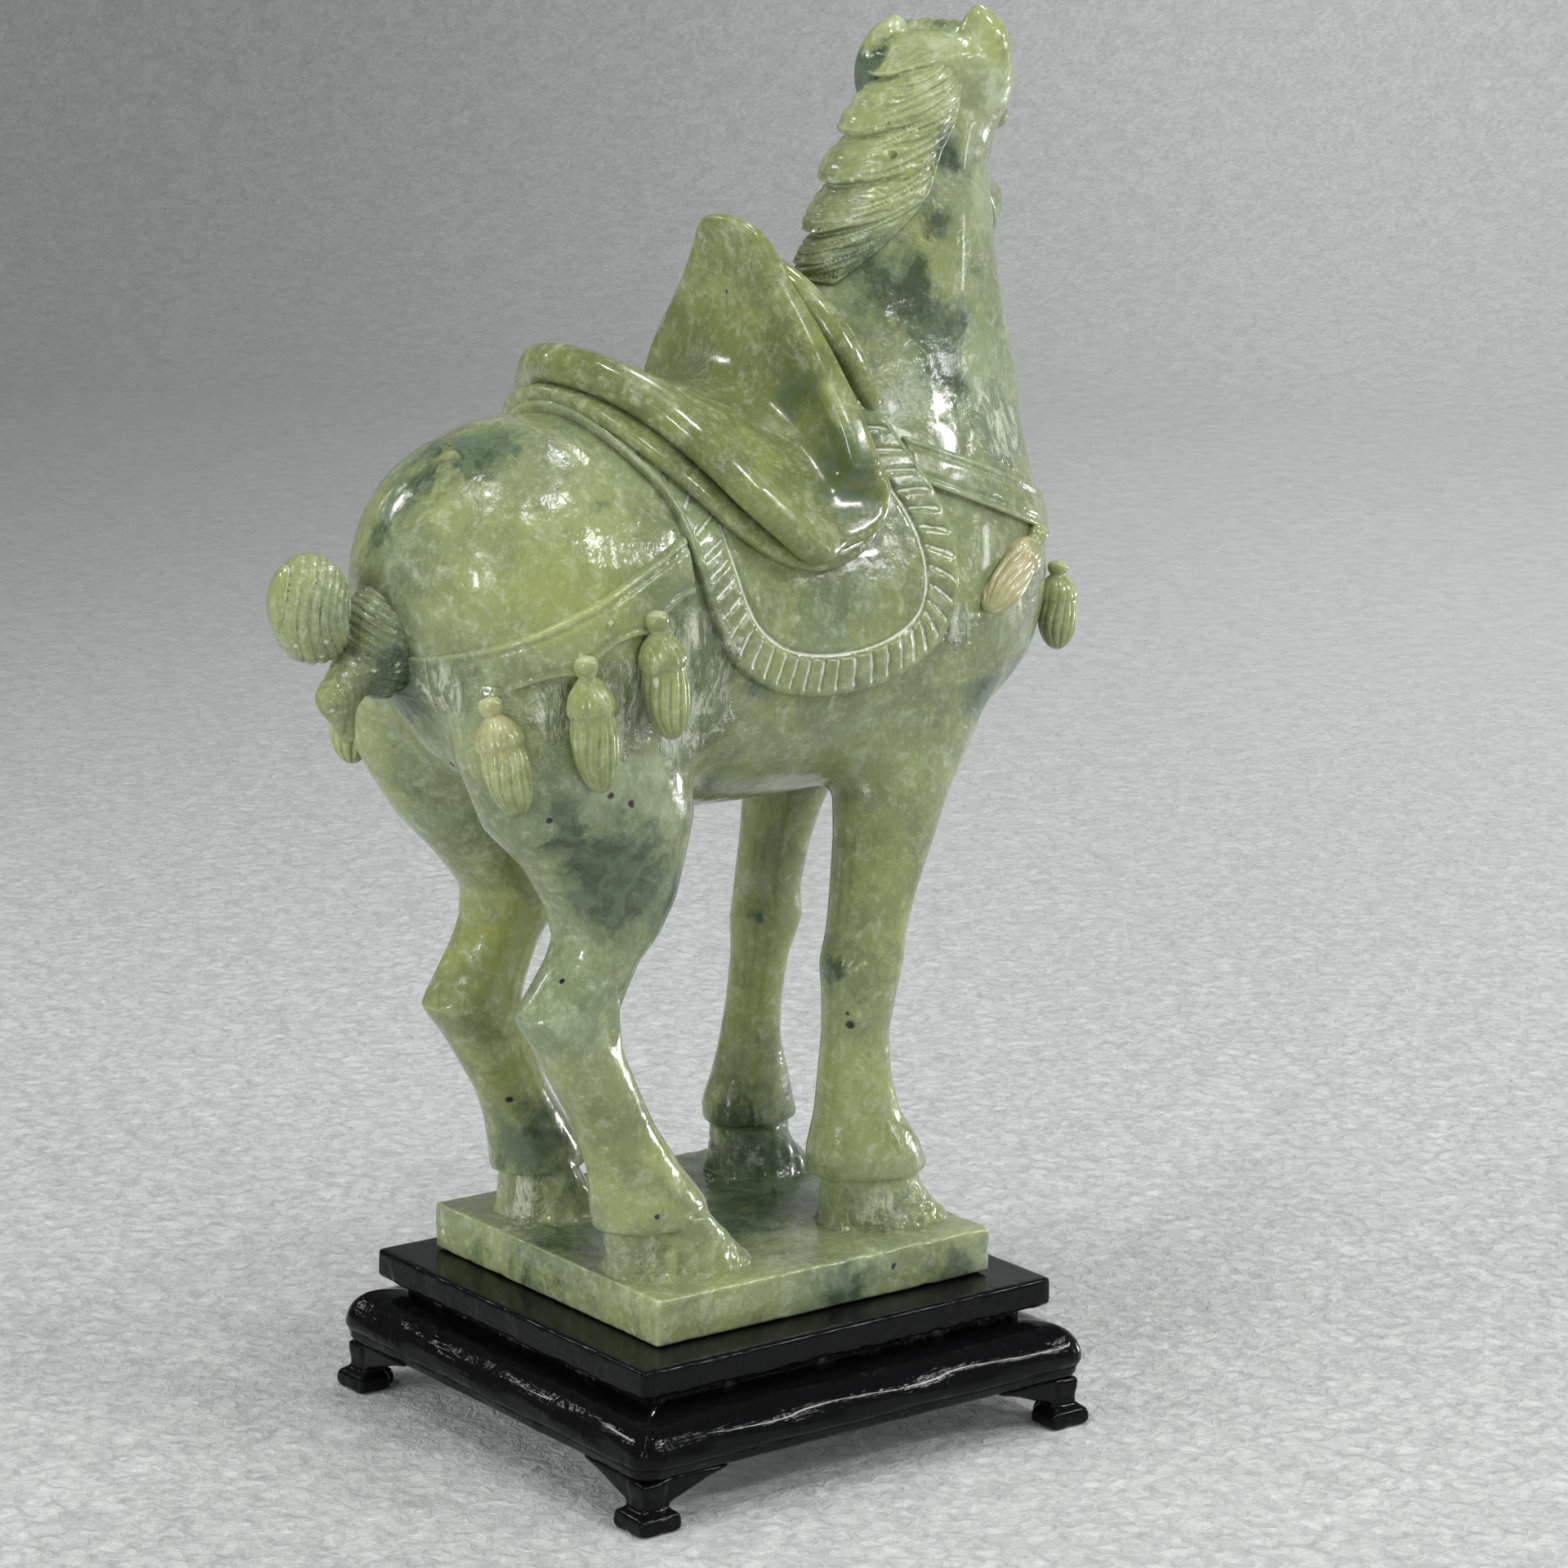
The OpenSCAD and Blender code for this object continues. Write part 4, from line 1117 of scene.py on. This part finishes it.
def jade(name, greens, places, ripple=1.0, scribed=False):
    """Cloudy carved stone. Where it is scribed, its cut lines are left white."""
    n = Nodes(name)
    tool = n.noise(0.0035, 5, 0.75, 0.6, vector=n.stretch(n.place, (1, 1, 0.3), (0.1, 0.15, 0)))
    chipped = n.times(n.span(n.patches(n.wander(0.006, 0.005), places["chipped"]), 0.1, 0.5), ripple)
    colour = tooled_with_painted_light(n, cloudy(n, greens, places), tool, chipped, scribed)
    rough = n.span(n.noise(0.02, 3, 0.6), 0.3, 0.7, 0.16, 0.3)
    n.surface({
        "Base Color": specked(n, colour, places["speck"]),
        "Roughness": n.math("ADD", rough, n.times(chipped, 0.12)),
        "Subsurface Weight": 0.3,
        "Subsurface Radius": (0.8, 1.0, 0.4),
        "Subsurface Scale": 0.004,
        "IOR": 1.5,
        "Coat Weight": 0.3,
        "Coat Roughness": 0.06,
    })
    n.bumps((n.noise(0.013, 2, 0.5), 0.0012 * ripple), (n.noise(0.0048, 3, 0.55), 0.0004 * ripple),
            (n.times(chipped, tool), 0.0035), (n.noise(0.0016, 2), 0.00003))
    return n.material


def lacquer():
    """Brushed black lacquer, thick and wavy, rubbed on its edges, which a paler colour marks as wear and as a painted
    sheen, and calmer on faces that point up.
    """
    n = Nodes("black_lacquer")
    brush = n.noise(0.0045, 4, 0.6, 0.3, vector=n.stretch(n.place, (0.14, 0.14, 1.5)))
    sag = n.noise(0.011, 3, 0.55, 0.5)
    dust = n.noise(0.0009, 3, 0.7)
    surface = n.new("NewGeometry").outputs
    up = n.new("SeparateXYZ", Vector=surface["True Normal"]).outputs["Z"]
    calm = n.span(up, 0.97, 0.995, 1.0, 0.15)
    # the pale rub on convex edges is wear and also a painted sheen
    edge_wear_and_sheen = n.span(surface["Pointiness"], 0.53, 0.6)
    rub_and_edge_sheen = n.times(edge_wear_and_sheen, n.span(n.noise(0.007, 5, 0.75), 0.5, 0.66))
    n.surface({
        "Base Color": n.mix(n.times(rub_and_edge_sheen, 0.6), (0.0035, 0.0034, 0.0038), (0.09, 0.085, 0.08)),
        "Roughness": n.math("ADD", n.span(brush, 0.35, 0.7, 0.03, 0.1), n.times(rub_and_edge_sheen, 0.3)),
        "IOR": 1.2,
        "Coat Weight": 0.12,
        "Coat Roughness": 0.02,
    })
    n.bumps((n.times(sag, calm), 0.0009), (n.times(brush, calm), 0.0004), (dust, 0.00005))
    return n.material


def fleece():
    """Pale tufted cloth, mottled near the object and plain further off, with painted shade that makes it darker on one
    side.
    """
    n = Nodes("pale_fleece")
    tuft = n.noise(0.0045, 4, 0.7, 0.8)
    away = n.span(n.vector("LENGTH", n.place, out="Value"), 0.3, 1.5)
    across = n.vector("DOT_PRODUCT", n.place, (0.787, -0.617, 0), out="Value")
    near_cloth = n.mix(n.span(tuft, 0.3, 0.7), (0.385, 0.405, 0.4), (0.59, 0.61, 0.6))
    # painted shade: the far cloth is darker towards one side
    far_cloth_with_painted_shade = n.mix(n.span(across, -0.55, 0.55), (0.34, 0.352, 0.345), (0.68, 0.705, 0.695))
    pile = n.span(n.noise(0.012, 3, 0.6, 0.5, vector=n.stretch(n.place, (1, 1, 0.3))), 0.3, 0.7, 0.92, 1.05)
    n.surface({
        "Base Color": n.mix(1.0, n.mix(away, near_cloth, far_cloth_with_painted_shade), pile, "MULTIPLY"),
        "Roughness": 0.95,
        "Specular IOR Level": 0.1,
        "Sheen Weight": 0.2,
    })
    n.bumps((tuft, 0.002))
    return n.material


# ---- studio -----------------------------------------------------------------------------------

def backdrop():
    """Pale cloth floor that curves up all round, far enough out to stand clear of any view of the object."""
    flat, bend, rise, sides = 2.0, 1.0, 3.2, 96
    profile = [(0.25, 0), (0.6, 0), (1.2, 0), (flat, 0)]
    profile += [(flat + bend * math.sin(a), bend * (1 - math.cos(a))) for a in np.radians(range(6, 91, 6))]
    profile.append((flat + bend, rise))
    points = [(0, 0, 0)]
    faces = []
    for r, z in profile:
        points += [(r * math.cos(a), r * math.sin(a), z) for a in np.linspace(0, 2 * math.pi, sides, endpoint=False)]
    for k in range(sides):
        m = (k + 1) % sides
        faces.append((0, 1 + k, 1 + m))
        for i in range(len(profile) - 1):
            base = 1 + i * sides
            faces.append((base + k, base + sides + k, base + sides + m, base + m))
    mesh = bpy.data.meshes.new("backdrop")
    mesh.from_pydata(points, [], faces)
    mesh.shade_smooth()
    cloth = bpy.data.objects.new("backdrop", mesh)
    bpy.context.scene.collection.objects.link(cloth)
    mesh.materials.append(fleece())


def area_light(name, place, size, power, mirrored_in_gloss=True, aim=(0, 0, 0.16)):
    """Soft panel; place is an azimuth, an elevation and a distance from the point that it is aimed at."""
    azimuth, elevation, distance = place
    a, e = math.radians(azimuth), math.radians(elevation)
    back = Vector((math.sin(a) * math.cos(e), -math.cos(a) * math.cos(e), math.sin(e)))
    data = bpy.data.lights.new(name, "AREA")
    data.shape = "RECTANGLE"
    data.size, data.size_y = size
    data.energy = power
    lamp = bpy.data.objects.new(name, data)
    lamp.visible_glossy = mirrored_in_gloss
    lamp.visible_camera = False
    lamp.location = Vector(aim) + back * distance
    lamp.rotation_euler = back.to_track_quat("Z", "Y").to_euler()
    bpy.context.scene.collection.objects.link(lamp)


def studio():
    world = bpy.data.worlds.new("studio")
    world.use_nodes = True
    sky = world.node_tree.nodes["Background"].inputs
    sky["Color"].default_value = (0.86, 0.92, 0.95, 1)
    sky["Strength"].default_value = 0.15
    bpy.context.scene.world = world
    bpy.context.scene.view_settings.view_transform = "Standard"
    area_light("overhead", (-10, 72, 1.5), (1.0, 0.8), 7.2, False)
    area_light("left_fill", (-98, 10, 1.5), (0.9, 0.9), 17.5, False)
    area_light("right_fill", (0, 8, 1.5), (0.9, 0.5), 5.6, False)
    area_light("wall_wash", (-45, 35, 2.1), (0.8, 0.8), 24, False, (2.1, 1.8, 0.9))
    area_light("streak", (47, 29, 1.4), (0.34, 0.055), 4.4)
    area_light("back_window", (-150, 30, 1.4), (0.1, 0.1), 1.3)
    area_light("right_strip", (58, 6, 1.4), (0.05, 0.25), 0.8)
    area_light("low_window", (86, -4, 1.2), (0.12, 0.1), 2.6)
    area_light("front_high", (20, 38, 1.4), (0.24, 0.12), 2.6)
    area_light("left_window", (-63, 13, 1.5), (0.1, 0.22), 3)
    for k, (azimuth, elevation) in enumerate(((106, 65), (-76, 69), (11, 64))):
        area_light(f"lamp_{k}", (azimuth, elevation, 1.3), (0.05, 0.05), 2.5)


def camera():
    """The viewing angle, with the lens and the place in mm from the middle of the stand that go with it."""
    azimuth, elevation, roll = -38.084, 12.232, 1.15
    place = (-688.9, -904.8, 410)
    a, e, r = (math.radians(v) for v in (azimuth, elevation, roll))
    right = Vector((math.cos(a), math.sin(a), 0))
    back = Vector((math.sin(a) * math.cos(e), -math.cos(a) * math.cos(e), math.sin(e)))
    up = back.cross(right)
    turned = (right * math.cos(r) + up * math.sin(r), up * math.cos(r) - right * math.sin(r), back)
    data = bpy.data.cameras.new("camera")
    data.lens, data.sensor_width = 106.875, 36
    data.clip_start, data.clip_end = 0.05, 50
    cam = bpy.data.objects.new("camera", data)
    cam.rotation_mode = "QUATERNION"
    cam.location = Vector((STAND_X + place[0], place[1], place[2])) * MM
    cam.rotation_quaternion = Matrix(turned).transposed().to_quaternion()
    bpy.context.scene.collection.objects.link(cam)
    bpy.context.scene.camera = cam


# ---- making the scene -------------------------------------------------------------------------

def main():
    camera()
    studio()
    backdrop()
    greens = ((0.235, 0.27, 0.11), (0.185, 0.23, 0.12), (0.032, 0.055, 0.028), (0.29, 0.318, 0.085))
    clean = ((0.198, 0.228, 0.073), (0.15, 0.181, 0.064), (0.09, 0.12, 0.03), (0.32, 0.34, 0.11))
    brown = ((0.29, 0.32, 0.13), (0.21, 0.25, 0.09), (0.1, 0.12, 0.05), (0.43, 0.37, 0.2))
    whole = {"dark": DARK_AND_SHADE, "pale": PALE, "yellow": YELLOW, "speck": SPECKS, "chipped": CHIPPED}
    trim = {"dark": SADDLE_DARK, "pale": (), "yellow": (), "speck": SPECKS[:2], "chipped": ()}
    hung = {"dark": (), "pale": (), "yellow": BROWN, "speck": (), "chipped": ()}
    # a finish for each material slot, and one for a single piece, by its name
    finishes = {
        "jade": jade("clouded_jade", greens, whole),
        "saddle_jade": jade("clean_jade", clean, trim, 0.35),
        "tassel_jade": jade("brown_jade", brown, hung, 0.4),
        "lacquer": lacquer(),
        "carved_saddle_blanket": jade("scribed_jade", greens, whole, scribed=True),
    }
    carving = [
        horse_body(), mane(), forelock(), tail(), saddle(), saddle_pad(), saddle_blanket(), rump_strap(),
        breast_strap(), tassels("rump_tassels", RUMP_TASSELS, 1.1), tassels("breast_tassels", BREAST_TASSELS, 1.0),
        worn_slab("carved_", "plinth", "jade", 0.7, 1.2, 0.2, 0.5, 7),
    ]
    stand = [worn_slab("wood_", "top_board", "lacquer", 0.7, 0.9, 0.08, 0.35, 11)]
    for turn, side in ((0, "front"), (90, "left"), (180, "back"), (270, "right")):
        stand.append(rail("wood_" + side + "_rail", side + "_rail", turn))
    for sx, front in ((1, "front"), (-1, "back")):
        for sy, left in ((1, "left"), (-1, "right")):
            stand.append(foot(f"wood_{front}_{left}_foot", f"{front}_{left}_foot", sx, sy))
    for body, made in (("carving", carving), ("stand", stand)):
        for piece, slot in made:
            piece.data.materials.append(finishes.get(piece.name, finishes[slot]))
            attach(piece, body)
    for node in bpy.context.scene.objects:
        if node.name == "waist_board":
            node.data.materials.clear()
            node.data.materials.append(finishes["lacquer"])


main()
